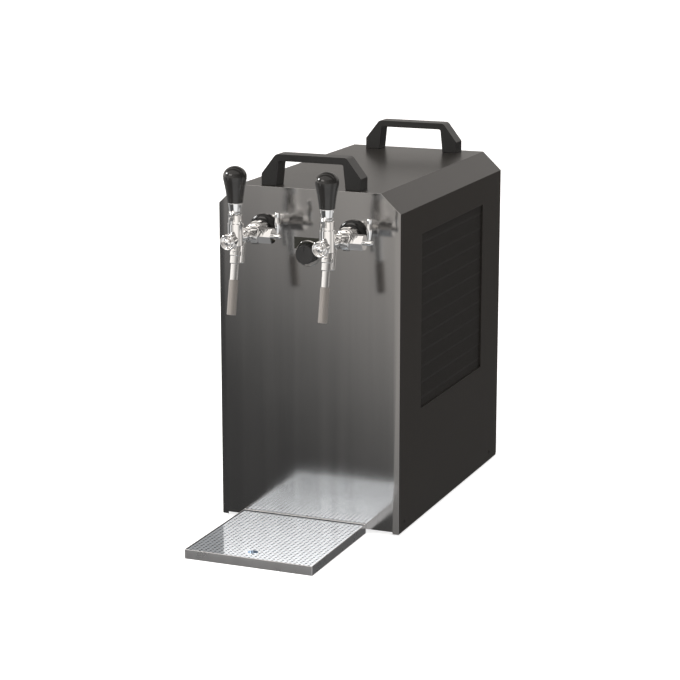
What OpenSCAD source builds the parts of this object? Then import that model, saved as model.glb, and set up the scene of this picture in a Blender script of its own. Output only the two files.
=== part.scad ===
// Two-tap draft beer dispenser: a dry-contact cooler in a folded sheet case, with a
// loose drip tray. Millimetres, +Z up, +Y towards the back, origin on the counter under
// the middle of the whole object.

/* [Case] */
// Width of the case
case_w = 300; // [260:1:360]
// Depth of the case, front panel to rear panel
case_d = 484; // [440:1:560]
// Height of the case without its feet
case_h = 529; // [500:1:600]
// Thickness of the cover, the rear panel and the base sheet
sheet_t = 1.5; // [1:0.1:2.5]
// Thickness of the stainless front panel
panel_t = 1.5; // [1:0.1:3]
// Width of each slanting upper edge
slant_w = 32; // [20:1:45]
// Height of each slanting upper edge
slant_h = 30; // [20:1:45]
// Width of the strip along each side of the front panel that leans back
strip_w = 10; // [6:1:20]
// How far the outer edge of that strip lies behind the panel's face
strip_lean = 0.7; // [0.5:0.1:2.5]
// How far the cover's sides and those strips reach below the base sheet
skirt_h = 3.4; // [0:0.1:4.5]
// Height of the upturned flange round the base sheet
flange_h = 24; // [18:1:40]

/* [Side windows] */
// Distance of each window from the front of the case
window_front = 96; // [70:1:110]
// Length of each window
window_l = 294; // [240:1:310]
// Height of each window's lower edge above the bottom of the case
window_low = 176; // [150:1:190]
// Height of each window
window_h = 278; // [220:1:285]
// Depth of the window's folded lip
lip_depth = 3; // [2.5:0.1:6]
// Thickness of the grille sheet
grille_t = 1; // [0.8:0.1:1.5]
// How far the grille sheet runs past the window
grille_lap = 10; // [6:1:16]
// Width of one slot in a grille
slot_w = 3; // [2:0.5:4]
// Distance between neighbouring slots
slot_pitch = 9.5; // [8:0.5:12]
// Rows of slots in a grille
slot_rows = 3; // [2:1:5]
// Height of the bar between two rows of slots
slot_bar = 9; // [6:1:14]

/* [Feet and screws] */
// Height of a rubber foot
foot_h = 7; // [5:0.5:12]
// Diameter of a rubber foot
foot_dia = 17; // [12:1:22]
// Distance of a foot's centre from the side of the case
foot_inset = 42; // [36:0.5:46]
// Distance of a foot's centre from the front or rear of the case
foot_setback = 40; // [30:1:50]
// Diameter of a cover screw's head
screw_head_dia = 6.5; // [5:0.5:9]
// Diameter of a cover screw's shank
screw_dia = 3.8; // [3:0.1:4.2]
// Height of a cover screw above the bottom of the case
screw_h = 11; // [8:0.5:14]
// Distance of the front cover screws from the front of the case
screw_front = 27; // [20:1:40]
// Distance of the rear cover screws from the rear of the case
screw_rear = 39; // [25:1:60]

/* [Carrying handles] */
// Width of a handle over its legs
handle_w = 164; // [140:1:190]
// Height of a handle above the case
handle_h = 49; // [42:1:60]
// Thickness of a handle from front to back
handle_depth = 28; // [22:1:32]
// Thickness of the grip bar
handle_bar = 10.5; // [8:0.5:13]
// Width of a leg at its foot
handle_leg = 25; // [20:1:30]
// Height at which a leg starts to slant inwards
handle_knee = 18; // [12:1:24]
// Distance of the front handle from the front of the case
handle_front = 10; // [6:1:20]
// Distance of the rear handle from the rear of the case
handle_rear = 9; // [6:1:20]

/* [Drip tray] */
// Width of the tray
tray_w = 208; // [170:1:240]
// Depth of the tray, in front of the panel
tray_d = 215; // [180:1:240]
// Height of the tray
tray_h = 15; // [12:0.5:24]
// Thickness of the tray sheet
tray_t = 1.2; // [0.8:0.1:1.6]
// How far the tray stands to the left of the middle
tray_shift = 8; // [0:1:14]
// Depth of the tray's rim above its grid
tray_rim = 1.4; // [1:0.1:3]
// Distance between neighbouring holes in the grid
hole_pitch = 9.3; // [8:0.1:14]
// Diameter of a hole in the grid
hole_dia = 4.2; // [3:0.1:5]
// Diameter of the finger hole that lifts the grid
finger_dia = 16; // [14:0.5:20]
// Length of the tongue that slides under the case
tongue_l = 60; // [30:1:90]
// Width of the tongue
tongue_w = 140; // [100:1:150]

/* [Taps] */
// Distance between the two taps
tap_spacing = 148; // [140:1:170]
// Height of the barrels above the bottom of the case
tap_h = 464; // [440:1:475]
// Diameter of a tap's barrel
barrel_dia = 17; // [16:0.5:20]
// Bore of a tap's barrel
barrel_bore = 10; // [9:0.5:11]
// Distance of the valve axis in front of the panel
valve_out = 103; // [100:1:110]
// Distance of the flow compensator in front of the panel
comp_out = 62; // [60:1:66]
// Diameter of the black rosette on the panel
rosette_dia = 46; // [40:1:52]
// Thickness of the rosette
rosette_t = 9; // [7:0.5:11]
// Outer diameter of the coupling nut
nut_dia = 32; // [30:1:36]
// Diameter of the threaded shank
shank_dia = 16; // [14:0.5:17]
// Diameter of the ringed front cap
cap_dia = 24; // [22:0.5:28]
// Diameter of the valve housing
housing_dia = 24; // [23:0.5:26]
// Forward swing of the lever, in degrees
swing_fore = 35; // [20:1:35]
// Backward swing of the lever, in degrees
swing_back = 10; // [5:1:12]

/* [Lever knobs] */
// Largest diameter of the black knob
knob_dia = 35.5; // [30:0.5:42]
// Diameter of the knob at its lower end
knob_low_dia = 23; // [20:0.5:28]
// Height of the knob
knob_h = 55; // [45:1:65]

/* [Spouts] */
// Forward tilt of the spout, in degrees
spout_tilt = 10.8; // [5:0.1:15]
// Outer diameter of the spout tube
spout_dia = 12; // [11:0.5:13]
// Bore of the spout tube
spout_bore = 8.4; // [7:0.1:9]
// Outer diameter of the steel sleeve at the spout's end
tip_dia = 14; // [13.5:0.1:16]
// Length of that sleeve
tip_l = 53; // [40:1:60]

/* [Thermostat] */
// Diameter of the thermostat knob
dial_dia = 30; // [26:1:34]
// Depth of the thermostat knob
dial_l = 15; // [12:0.5:20]
// Height of the thermostat knob above the bottom of the case
dial_h = 430; // [415:1:435]
// Mean diameter of the thin ring round the knob
dial_ring_dia = 39.6; // [38:0.2:42]
// Width of the dark plate above the knob
dial_plate_w = 46; // [42:1:60]
// Height of that plate
dial_plate_h = 18; // [14:1:22]

/* [Rear connections] */
// Diameter of a beer inlet's stem
stem_dia = 9.5; // [8:0.1:12.7]
// Length of a beer inlet's stem
stem_l = 20; // [15:1:26]
// Diameter of the mains lead that the gland takes
lead_dia = 7.5; // [6:0.1:9]

/* [Hidden] */
$fn = 64;

LEFT = -1;
RIGHT = 1;

// Clearances, and the overrun of every cut
cut = 1;
free = 0.3;
slip = 0.08;
thread_gap = 0.1;

// Heights and depths in the case
floor_z = foot_h;
skirt_z = floor_z - skirt_h;
top_z = foot_h + case_h;
half_w = case_w / 2;
inner_w = half_w - sheet_t;
rear_y = case_d - sheet_t;
inlet_hex_t = 4;
panel_y = (tray_d - case_d - inlet_hex_t - stem_l) / 2;
window_y = window_front;
window_z = floor_z + window_low;
grille_x = half_w - lip_depth;

// Slots, feet and screws
slot_edge = 12;
foot_screw_dia = 4;
foot_bevel = 1.2;
foot_sink = 4;
foot_places = [
    for (x = [-half_w + foot_inset, half_w - foot_inset], y = [foot_setback, case_d - foot_setback]) [x, y]
];
cover_screw_l = 8;
cover_head_t = 1.3;
cover_screw_places = [screw_front, case_d - screw_rear];

// Handle outline
handle_corner = 8;
handle_crook = 3;
handle_slope = 4;
handle_flat = 27;
handle_screw_dia = 5;
handle_screw_l = 12;
handle_screw_head_dia = 9;
handle_screw_head_t = 3;
handle_rear_y = case_d - handle_rear - handle_depth;
handle_screw_places = [
    for (x = [-1, 1], y = [handle_front, handle_rear_y])
        [x * (handle_w - handle_leg) / 2, y + handle_depth / 2]
];

// Drip tray
tray_y = -free;
grid_t = 1.2;
grid_gap = 0.5;
grid_z = tray_h - tray_rim - grid_t;
grid_border = 6;
finger_x = 5;
finger_y = 184.5;
tongue_corner = 12;

// Stations of a tap, as distances in front of the panel and heights over the barrel
tap_z = floor_z + tap_h;
barrel_r = barrel_dia / 2;
bore_r = barrel_bore / 2;
shank_r = shank_dia / 2;
shank_bore = 7;
shank_in = 38;
shank_flange_t = 2;
shank_flange_lip = 4;
shank_flange_r = shank_r + shank_flange_lip;
nut_from = rosette_t + shank_flange_t;
nut_grip = 13;
shank_out = nut_from + nut_grip;
tail_gap = 0.3;
tail_from = shank_out + tail_gap;
tail_t = 3.5;
tail_lip = 1.5;
tail_r = barrel_r + tail_lip;
nut_front_from = tail_from + tail_t + tail_gap;
nut_front_wall = 10.7;
nut_to = nut_front_from + nut_front_wall;
nut_r = nut_dia / 2;
nut_shoulder = 9;
nut_slot_w = 4;
nut_slot_depth = 1.6;
lock_nut_af = 24;
lock_nut_t = 6;

barrel_front = 19;
barrel_to = valve_out + barrel_front;
housing_r = housing_dia / 2;
parting_h = 26.5;
pivot_h = 20;
ball_r = 5.5;
stem_pin_dia = 7;
tail_pin_dia = 3.2;
tail_past = 2;
tail_reach = pivot_h + tail_past;
plug_r = 8.5;
bonnet_r = 11;
cup_r = 20.9;
bonnet_dome_r = cup_r - free;
neck_low_r = 8.6;
neck_top_r = 10;
neck_rise = 35.4;
neck_top = pivot_h + neck_rise;
stud_dia = 8;
stud_l = 15;

// How far the knob's side has widened at each share of its height, up to its widest
knob_side_shares = [
    [0, 0], [0.08, 0.03], [0.14, 0.1], [0.25, 0.2], [0.46, 0.36], [0.78, 0.54], [0.95, 0.64], [1, 0.72]
];
groove = 0.8;

swell_r = 11;
swell_half = 12;
comp_h = 1;
comp_ring_r = 14;
comp_ring_from = 9;
comp_ring_l = 13;
comp_hex_af = 22;
comp_hex_to = 43;
spindle_dia = 6.8;
spindle_tip = 1;
spindle_from = bore_r - spindle_tip;
comp_tip = 57;
comp_rod_x = 50.5;
comp_rod_h = 36;
hub_r = 4;
rod_low_r = 2.6;
rod_r = 4.2;
bead_r = 3.9;

// Heights of the lever's rod, swell and bead as shares of its length
rod_shares = [0.2, 0.45, 0.62];
bead_shares = [0.82, 0.9, 0.96];

cap_from = barrel_to;
cap_r = cap_dia / 2;
cap_t = 11;
cap_recess = 3.5;
cap_rim = 2.3;
cap_hub_r = 5.4;
cap_plug_l = 1.6;

piston_r = bore_r - free;
piston_front_l = 13;
piston_rear_l = 15;
piston_front = valve_out + piston_front_l;
piston_rear = valve_out - piston_rear_l;
piston_land = 5;
piston_slot_w = tail_pin_dia + 2 * free;
piston_slot_l = 6.8;
piston_slot_floor = 3.2;

spout_root = 100;
neck_r = 7.5;
neck_l = 18;
collar_l = 19;
collar_r = 8.5;
tip_drop = 24;
tip_from = neck_l + collar_l + tip_drop;
tip_lap = 20;
tip_step = 0.8;
tip_bore_r = spout_dia / 2 - tip_step;
creamer_root = 74;
creamer_dia = 7;
creamer_boss_r = 4.6;
creamer_boss_l = 12;
creamer_l = 29;
creamer_wall = 1.2;

// Thermostat
dial_z = floor_z + dial_h;
dial_r = dial_dia / 2;
dial_gap = 1.4;
dial_shaft_dia = 6;
dial_flutes = 18;
flute_r = 1.6;
flute_sink_share = 0.6;
face_corner = 1.2;
pointer_w = 1.6;
pointer_depth = 0.8;
capillary_r = 1.5;
capillary_l = 12;
dial_ring_w = 2;
dial_ring_t = 2;
plate_t = 0.8;
plate_low = 6;
thermostat_w = 46;
thermostat_h = 34;
thermostat_t = 24;
shaft_in = 14;

// Inside the case
block_w = 220;
block_d = 108;
block_h = 330;
block_y = 22;
block_corner = 14;
compressor_x = -40;
compressor_gap = 20.5;
compressor_r = 60;
compressor_h = 172;
compressor_bead = 2;
compressor_y = rear_y - compressor_gap - compressor_bead - compressor_r;
compressor_base_t = 4;
compressor_base_corner = 10;
compressor_base_w = 114;
compressor_foot_h = 14;
compressor_foot_r = 9;
compressor_foot_at = 48;

// The compressor's shell as shares of its radius and height, from below to its weld bead
shell_shares = [[0.7, 0], [0.92, 0.06], [1, 0.16], [1, 0.44]];
weld_shares = [0.45, 0.49, 0.5];
crown_shares = [0.32, 0.6];
suction_share = 0.55;
discharge_share = 0.7;
line_r = 4.7;
shroud_clear = 17.3;
shroud_x = tap_spacing / 2 + line_r + shroud_clear;
shroud_t = 1.5;
shroud_y = 190;
shroud_l = 220;
shroud_h = 470;
fan_y = 300;
fan_z = 325;
fan_r = 72;
fan_gap = 4;
fan_blades = 5;
blade_t = 1.6;
blade_w = 44;
blade_pitch = 32;
fan_hub_r = 22;
fan_hub_l = 26;
fan_shaft_dia = 6;
motor_r = 24;
motor_l = 26;
motor_gap = 1.5;
arm_w = 12;
condenser_y = 196;
condenser_l = 208;
condenser_z = 195;
condenser_h = 250;
condenser_gap = 8.5;
condenser_t = grille_x - grille_t - condenser_gap - shroud_x - shroud_t;
fin_inset = 2;
fin_depth = condenser_t - fin_inset;
fin_count = 26;
fin_t = 1;
tube_rows = 5;
tube_r = 4.2;
port_share = 0.1;
line_bend = 18;
line_rise = 45;
line_z = floor_z + line_rise;
line_y = 76;
line_left_x = 40;
line_turn_y = 165;
line_seat = 8;
inlet_in = 14;
gas_line_r = 4;
gas_bend = 14;
gas_rise = 28;
gas_reach = 35;
stub_r = 6;
stub_l = 8;

// Rear connections
inlet_thread_r = 7;
inlet_hex_af = 18;
inlet_nut_t = 5;
inlet_shoulder_r = 6;
gland_inset = 45;
gland_x = gland_inset - half_w;
gland_rise = 48;
gland_z = floor_z + gland_rise;
gland_r = 9.5;
gland_l = 15;
gland_hex_t = 5;
gland_hex_af = 22;
gland_thread_r = 7.8;
gland_in = 10;
switch_inset = 45;
switch_x = switch_inset - half_w;
switch_rise = 110;
switch_z = floor_z + switch_rise;
switch_w = 22;
switch_h = 30;
switch_rim = 2;
switch_body_l = 22;
rocker_r = 12;
rocker_w = 16;
rocker_slope = 7;
rocker_proud = 1;
vent_count = 12;
vent_w = 130;
vent_h = 5;
vent_pitch = 13;
vent_rise = 205;
vent_z = floor_z + vent_rise;
control_w = 150;
control_h = 90;
control_d = 55;
control_x = -20;
control_rise = 400;
control_z = floor_z + control_rise;

// Moves children from the panel's face and the counter to where the case stands
module in_case() {
    translate([0, panel_y, 0]) children();
}

// Turns a shape that stands on +Z to point at the user, at the back or to the right
module forwards() {
    rotate([90, 0, 0]) children();
}

module backwards() {
    rotate([-90, 0, 0]) children();
}

module rightwards() {
    rotate([0, 90, 0]) children();
}

// A profile seen from the front, drawn out from y over the given depth
module across(y, depth) {
    translate([0, y + depth, 0]) rotate([90, 0, 0]) linear_extrude(depth) children();
}

// A profile of distances to the front and heights, drawn out evenly to both sides
module seen_from_side(width) {
    rotate([90, 0, -90]) linear_extrude(width, center = true) children();
}

// A turned part from its stations [radius, height], with a bore
module turned(stations, bore = 0) {
    low = stations[0][1];
    high = stations[len(stations) - 1][1];
    rotate_extrude() polygon(concat([[bore, low]], stations, [[bore, high]]));
}

// A quarter ellipse from the full radius up to the top, cut off at the given angle
function dome(r, h, base, to = 90, steps = 8) =
    [for (i = [0:steps]) let (a = to * i / steps) [r * cos(a), base + h * sin(a)]];

function unit(v) = v / norm(v);

// A polygon whose corners are rounded by the radius given as each point's third value
function rounded(points, steps = 6) = [
    for (i = [0:len(points) - 1])
        let (
            n = len(points),
            q = [points[i][0], points[i][1]],
            p = [points[(i + n - 1) % n][0], points[(i + n - 1) % n][1]],
            s = [points[(i + 1) % n][0], points[(i + 1) % n][1]],
            r = points[i][2],
            a = unit(p - q),
            b = unit(s - q),
            half = acos(a * b) / 2,
            centre = q + unit(a + b) * r / sin(half),
            from = q + a * r / tan(half) - centre,
            to = q + b * r / tan(half) - centre,
            start = atan2(from[1], from[0]),
            turn = (atan2(to[1], to[0]) - start + 540) % 360 - 180
        )
        each r == 0 ? [q] : [
            for (k = [0:steps])
                let (w = start + turn * k / steps) centre + r * [cos(w), sin(w)]
        ]
];

// A hexagonal prism by its width over the flats
module hexagon(flats, height) {
    cylinder(r = flats / 2 / cos(30), h = height, $fn = 6);
}

// A box about an upright line, with round upright edges
module pillar(w, d, h, corner) {
    linear_extrude(h) polygon(rounded([
        [-w / 2, -d / 2, corner], [w / 2, -d / 2, corner],
        [w / 2, d / 2, corner], [-w / 2, d / 2, corner]
    ]));
}

// A quarter bend at a corner, from one direction of travel to the next
module elbow(corner, from, to, r, bend) {
    centre = corner - from * bend + to * bend;
    side = cross(from, to);
    multmatrix([
        [-to[0], from[0], side[0], centre[0]],
        [-to[1], from[1], side[1], centre[1]],
        [-to[2], from[2], side[2], centre[2]],
        [0, 0, 0, 1]
    ])
        rotate_extrude(angle = 90) translate([bend, 0]) circle(r);
}

// A round run from one point to the next, along an axis
module run(from, to, r) {
    way = unit(to - from);
    translate(from)
        rotate(way[2] != 0 ? [way[2] > 0 ? 0 : 180, 0, 0] :
            way[0] != 0 ? [0, 90 * way[0], 0] : [-90 * way[1], 0, 0])
        cylinder(r = r, h = norm(to - from));
}

// A bent line along points that are joined square to each other
module bent_line(points, r, bend) {
    last = len(points) - 1;
    for (i = [0:last - 1]) {
        way = unit(points[i + 1] - points[i]);
        run(points[i] + way * (i > 0 ? bend : 0), points[i + 1] - way * (i < last - 1 ? bend : 0), r);
    }
    for (i = [1:last - 1])
        elbow(points[i], unit(points[i] - points[i - 1]), unit(points[i + 1] - points[i]), r, bend);
}

// Outline of the case seen from the front, drawn in by the given wall
function case_outline(wall) =
    let (
        turn_low = atan2(slant_w, slant_h),
        shoulder = top_z - slant_h - wall * tan(turn_low / 2),
        edge = half_w - slant_w - wall * tan((90 - turn_low) / 2)
    )
    [
        [half_w - wall, shoulder], [edge, top_z - wall],
        [-edge, top_z - wall], [-half_w + wall, shoulder]
    ];

function closed_outline(low, wall) =
    concat([[-half_w + wall, low], [half_w - wall, low]], case_outline(wall));

// The front panel's bend seen from above, with the given thickness behind its face
module panel_bend(behind) {
    flat = half_w - strip_w;
    polygon([
        [-half_w, strip_lean], [-flat, 0], [flat, 0], [half_w, strip_lean],
        [half_w, strip_lean + behind], [flat, behind], [-flat, behind], [-half_w, strip_lean + behind]
    ]);
}

// Everything in front of the panel's back, which the cover and the base keep clear of
module panel_room() {
    flat = half_w - strip_w;
    reach = half_w + cut;
    lean = strip_lean + strip_lean / strip_w * cut;
    linear_extrude(top_z + cut) polygon([
        [-reach, -cut], [reach, -cut], [reach, lean + panel_t], [flat, panel_t],
        [-flat, panel_t], [-reach, lean + panel_t]
    ]);
}

// Case

module base_pan() {
    color("#5b5b5b") in_case() difference() {
        translate([-inner_w, 0, floor_z]) cube([2 * inner_w, rear_y, flange_h]);
        translate([-inner_w + sheet_t, sheet_t + panel_t + strip_lean, floor_z + sheet_t])
            cube([2 * (inner_w - sheet_t), rear_y - 2 * sheet_t - panel_t - strip_lean, flange_h]);
        panel_room();
        cover_screw_holes(screw_dia + 2 * thread_gap);
        foot_screw_holes(foot_screw_dia + 2 * thread_gap);
    }
}

module foot_screw_holes(dia) {
    for (p = foot_places)
        translate([p[0], p[1], 0]) cylinder(d = dia, h = floor_z + sheet_t + cut);
}

module front_panel() {
    color("#8d8781") in_case() difference() {
        intersection() {
            linear_extrude(top_z + cut) panel_bend(panel_t);
            across(-cut, cut * 2 + strip_lean + panel_t) polygon(closed_outline(skirt_z, 0));
        }
        translate([-half_w + strip_w, -cut, 0]) cube([case_w - 2 * strip_w, panel_t + 2 * cut, floor_z]);
        for (side = [LEFT, RIGHT])
            translate([side * tap_spacing / 2, -cut, tap_z])
                backwards() cylinder(r = shank_r + free, h = panel_t + 2 * cut);
        translate([0, -cut, dial_z]) backwards()
            cylinder(d = dial_shaft_dia + 2 * free, h = panel_t + 2 * cut);
    }
}

module case_cover() {
    color("#37322e") in_case() difference() {
        union() {
            difference() {
                across(0, rear_y) polygon(closed_outline(skirt_z, 0));
                across(-cut, rear_y + 2 * cut) polygon(closed_outline(skirt_z - cut, sheet_t));
            }
            for (side = [LEFT, RIGHT]) window_lip(side);
        }
        panel_room();
        translate([-half_w - cut, window_y, window_z]) cube([case_w + 2 * cut, window_l, window_h]);
        cover_screw_holes(screw_dia + 2 * thread_gap);
        for (p = handle_screw_places)
            translate([p[0], p[1], top_z - sheet_t - cut])
                cylinder(d = handle_screw_dia + 2 * free, h = sheet_t + 2 * cut);
    }
}

// The fold round a window, which the grille seats on
module window_lip(side) {
    deep = lip_depth - sheet_t + min(sheet_t, cut) / 2;
    middle = side * (half_w - lip_depth + deep / 2);
    translate([middle, window_y + window_l / 2, window_z + window_h / 2])
        cube([deep, window_l + 2 * sheet_t, window_h + 2 * sheet_t], center = true);
}

module rear_panel() {
    color("#37322e") in_case() difference() {
        across(rear_y, sheet_t) polygon(closed_outline(floor_z, 0));
        for (i = [0:vent_count - 1])
            translate([0, rear_y + sheet_t / 2, vent_z + i * vent_pitch])
                cube([vent_w, sheet_t + 2 * cut, vent_h], center = true);
        for (x = [line_left_x, tap_spacing / 2])
            translate([x, rear_y - cut, line_z]) backwards()
                cylinder(r = inlet_thread_r + thread_gap, h = sheet_t + 2 * cut);
        translate([gland_x, rear_y - cut, gland_z]) backwards()
            cylinder(r = gland_thread_r + thread_gap, h = sheet_t + 2 * cut);
        translate([switch_x, rear_y + sheet_t / 2, switch_z])
            cube([switch_w - 2 * switch_rim, sheet_t + 2 * cut, switch_h - 2 * switch_rim], center = true);
    }
}

module side_grille(side) {
    rise = window_h - 2 * slot_edge;
    slot_h = (rise - (slot_rows - 1) * slot_bar) / slot_rows;
    columns = floor((window_l - 2 * slot_edge) / slot_pitch);
    first = window_y + (window_l - (columns - 1) * slot_pitch) / 2;
    color("#262320") in_case()
        translate([side > 0 ? grille_x - grille_t : -grille_x, 0, 0])
        rotate([90, 0, 90]) linear_extrude(grille_t) difference() {
            translate([window_y - grille_lap, window_z - grille_lap])
                square([window_l + 2 * grille_lap, window_h + 2 * grille_lap]);
            for (i = [0:columns - 1], k = [0:slot_rows - 1])
                translate([
                    first + i * slot_pitch - slot_w / 2,
                    window_z + slot_edge + k * (slot_h + slot_bar)
                ]) square([slot_w, slot_h]);
        }
}

module side_grille_left() {
    side_grille(LEFT);
}

module side_grille_right() {
    side_grille(RIGHT);
}

// Handles, feet and screws

module handle(y) {
    out = handle_w / 2;
    shoulder = out - handle_flat;
    lift = handle_h - handle_bar;
    in_low = out - handle_leg;
    in_high = in_low - handle_slope;
    color("#2b2b2b") in_case() difference() {
        translate([0, 0, top_z]) across(y, handle_depth) polygon(rounded([
            [out, 0, 0], [out, handle_knee, handle_crook],
            [shoulder + handle_crook, handle_h, handle_corner],
            [-shoulder - handle_crook, handle_h, handle_corner],
            [-out, handle_knee, handle_crook], [-out, 0, 0],
            [-in_low, 0, 0], [-in_high, lift, handle_crook], [in_high, lift, handle_crook], [in_low, 0, 0]
        ]));
        for (p = handle_screw_places)
            translate([p[0], p[1], top_z - cut])
                cylinder(d = handle_screw_dia + 2 * thread_gap, h = handle_screw_l + cut);
    }
}

module front_handle() {
    handle(handle_front);
}

module rear_handle() {
    handle(handle_rear_y);
}

module handle_screws() {
    color("#b8b8b8") in_case() for (p = handle_screw_places)
        translate([p[0], p[1], top_z - sheet_t - handle_screw_head_t]) difference() {
            union() {
                cylinder(d = handle_screw_head_dia, h = handle_screw_head_t);
                cylinder(d = handle_screw_dia, h = handle_screw_head_t + sheet_t + handle_screw_l - free);
            }
            translate([0, 0, -cut]) hexagon(handle_screw_dia / 2, handle_screw_head_t / 2 + cut);
        }
}

module feet() {
    color("#1d1d1d") in_case() for (p = foot_places)
        translate([p[0], p[1], 0]) difference() {
            turned([
                [foot_dia / 2 - foot_bevel, 0], [foot_dia / 2, foot_bevel], [foot_dia / 2, floor_z]
            ]);
            translate([0, 0, -cut]) cylinder(d = foot_screw_dia + foot_sink, h = floor_z / 2 + cut);
            translate([0, 0, -cut]) cylinder(d = foot_screw_dia, h = floor_z + 2 * cut);
        }
}

module cover_screw_holes(dia) {
    for (p = cover_screw_places)
        translate([-half_w - cut, p, floor_z + screw_h]) rightwards()
            cylinder(d = dia, h = case_w + 2 * cut);
}

module cover_screws() {
    color("#222222") in_case() for (side = [0, 1], p = cover_screw_places)
        mirror([side, 0, 0]) translate([half_w, p, floor_z + screw_h]) rightwards() difference() {
            union() {
                turned(concat(
                    [[screw_head_dia / 2, 0]],
                    dome(screw_head_dia / 2, cover_head_t * 2 / 3, cover_head_t / 3, to = 60, steps = 4)
                ));
                translate([0, 0, -cover_screw_l])
                    cylinder(d = screw_dia, h = cover_screw_l + cover_head_t / 3);
            }
            translate([0, 0, cover_head_t / 2]) hexagon(screw_dia / 2, cover_head_t);
        }
}

// Drip tray

module drip_tray() {
    color("#9a9a9a") in_case() translate([-tray_shift, tray_y, 0]) {
        difference() {
            translate([-tray_w / 2, -tray_d - tray_y, 0]) cube([tray_w, tray_d + tray_y, tray_h]);
            translate([-tray_w / 2 + tray_t, -tray_d - tray_y + tray_t, tray_t])
                cube([tray_w - 2 * tray_t, tray_d + tray_y - 2 * tray_t, tray_h]);
        }
        translate([-tongue_w / 2, -tray_t, 0]) linear_extrude(tray_t) polygon(rounded([
            [0, 0, 0], [tongue_w, 0, 0],
            [tongue_w, tongue_l + tray_t, tongue_corner], [0, tongue_l + tray_t, tongue_corner]
        ]));
    }
}

module tray_grid() {
    inset = tray_t + grid_gap;
    w = tray_w - 2 * inset;
    d = tray_d + tray_y - 2 * inset;
    columns = floor((w - 2 * grid_border) / hole_pitch) + 1;
    rows = floor((d - 2 * grid_border) / hole_pitch) + 1;
    color("#c9cbcc") in_case() translate([-tray_shift, tray_y, 0]) {
        translate([-w / 2, -tray_d - tray_y + inset, grid_z]) linear_extrude(grid_t) difference() {
            square([w, d]);
            for (i = [0:columns - 1], k = [0:rows - 1]) {
                x = w / 2 + (i - (columns - 1) / 2) * hole_pitch;
                y = d / 2 + (k - (rows - 1) / 2) * hole_pitch;
                away = norm([x - w / 2 + finger_x, y - (tray_d - inset - finger_y)]);
                if (away > (finger_dia + hole_dia) / 2 + grid_t)
                    translate([x, y]) circle(d = hole_dia, $fn = 24);
            }
            translate([w / 2 - finger_x, tray_d - inset - finger_y]) circle(d = finger_dia);
        }
        translate([-w / 2, -tray_d - tray_y + inset, tray_t]) linear_extrude(grid_z - tray_t) difference() {
            square([w, d]);
            translate([grid_t, grid_t]) square([w - 2 * grid_t, d - 2 * grid_t]);
        }
    }
}

// Thermostat and switch

module at_dial() {
    in_case() translate([0, 0, dial_z]) forwards() children();
}

module thermostat_knob() {
    color("#242424") at_dial() {
        difference() {
            union() {
                turned([
                    [dial_r, dial_gap], [dial_r, dial_gap + dial_l - face_corner],
                    [dial_r - face_corner, dial_gap + dial_l]
                ]);
                translate([0, 0, -panel_t - shaft_in])
                    cylinder(d = dial_shaft_dia, h = panel_t + shaft_in + dial_gap + cut);
            }
            for (i = [0:dial_flutes - 1])
                rotate(360 * i / dial_flutes)
                    translate([dial_r + flute_r * flute_sink_share, 0, dial_gap + dial_l / 4])
                    cylinder(r = flute_r, h = dial_l, $fn = 24);
            translate([-pointer_w / 2, dial_r / 3, dial_gap + dial_l - pointer_depth])
                cube([pointer_w, dial_r, pointer_depth + cut]);
        }
    }
}

module dial_ring() {
    inner = (dial_ring_dia - dial_ring_w) / 2;
    round_t = dial_ring_t / 2;
    color("#d0d0d0") at_dial() difference() {
        turned([
            [inner + dial_ring_w, 0], [inner + dial_ring_w, round_t],
            [inner + dial_ring_w * 0.75, dial_ring_t], [inner + dial_ring_w * 0.25, dial_ring_t],
            [inner, round_t]
        ], bore = inner);
        translate([-dial_plate_w / 2, plate_low, -cut]) cube([dial_plate_w, dial_plate_h, plate_t + cut]);
    }
}

module dial_plate() {
    color("#1a1a18") at_dial()
        translate([-dial_plate_w / 2, plate_low, 0]) cube([dial_plate_w, dial_plate_h, plate_t]);
}

module thermostat() {
    color("#c8c4b8") at_dial() difference() {
        union() {
            translate([-thermostat_w / 2, -thermostat_h / 2, -panel_t - thermostat_t])
                cube([thermostat_w, thermostat_h, thermostat_t]);
            translate([thermostat_w / 4, 0, -panel_t - thermostat_t - capillary_l])
                cylinder(r = capillary_r, h = capillary_l + cut);
        }
        translate([0, 0, -panel_t - shaft_in - free])
            cylinder(d = dial_shaft_dia + 2 * slip, h = shaft_in + free + cut);
    }
}

module at_switch() {
    in_case() translate([switch_x, case_d, switch_z]) children();
}

module switch_housing() {
    w = switch_w - 2 * switch_rim - 2 * thread_gap;
    h = switch_h - 2 * switch_rim - 2 * thread_gap;
    color("#161616") at_switch() difference() {
        union() {
            translate([-switch_w / 2, 0, -switch_h / 2]) cube([switch_w, switch_rim, switch_h]);
            translate([-w / 2, -switch_body_l, -h / 2]) cube([w, switch_body_l + cut, h]);
        }
        rightwards() cylinder(r = rocker_r + free, h = rocker_w + 2 * free, center = true);
    }
}

// The rocker is a slice of a drum, with a shallow V for its face
module switch_rocker() {
    proud = switch_rim + rocker_proud;
    color("#0c0c0c") at_switch() intersection() {
        rightwards() cylinder(r = rocker_r, h = rocker_w, center = true);
        rotate([rocker_slope, 0, 0]) seen_from_side(rocker_w + 2 * cut) polygon([
            [-proud, 0], [-proud - 2 * rocker_r * tan(rocker_slope), 2 * rocker_r],
            [2 * rocker_r, 2 * rocker_r], [2 * rocker_r, -2 * rocker_r],
            [-proud - 2 * rocker_r * tan(rocker_slope), -2 * rocker_r]
        ]);
    }
}

// Taps

module at_tap(side) {
    in_case() translate([side * tap_spacing / 2, 0, tap_z]) children();
}

// The spout's own frame: +Z runs down it, from the barrel's axis
module along_spout(root) {
    translate([0, -root, 0]) rotate([180 - spout_tilt, 0, 0]) children();
}

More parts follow.
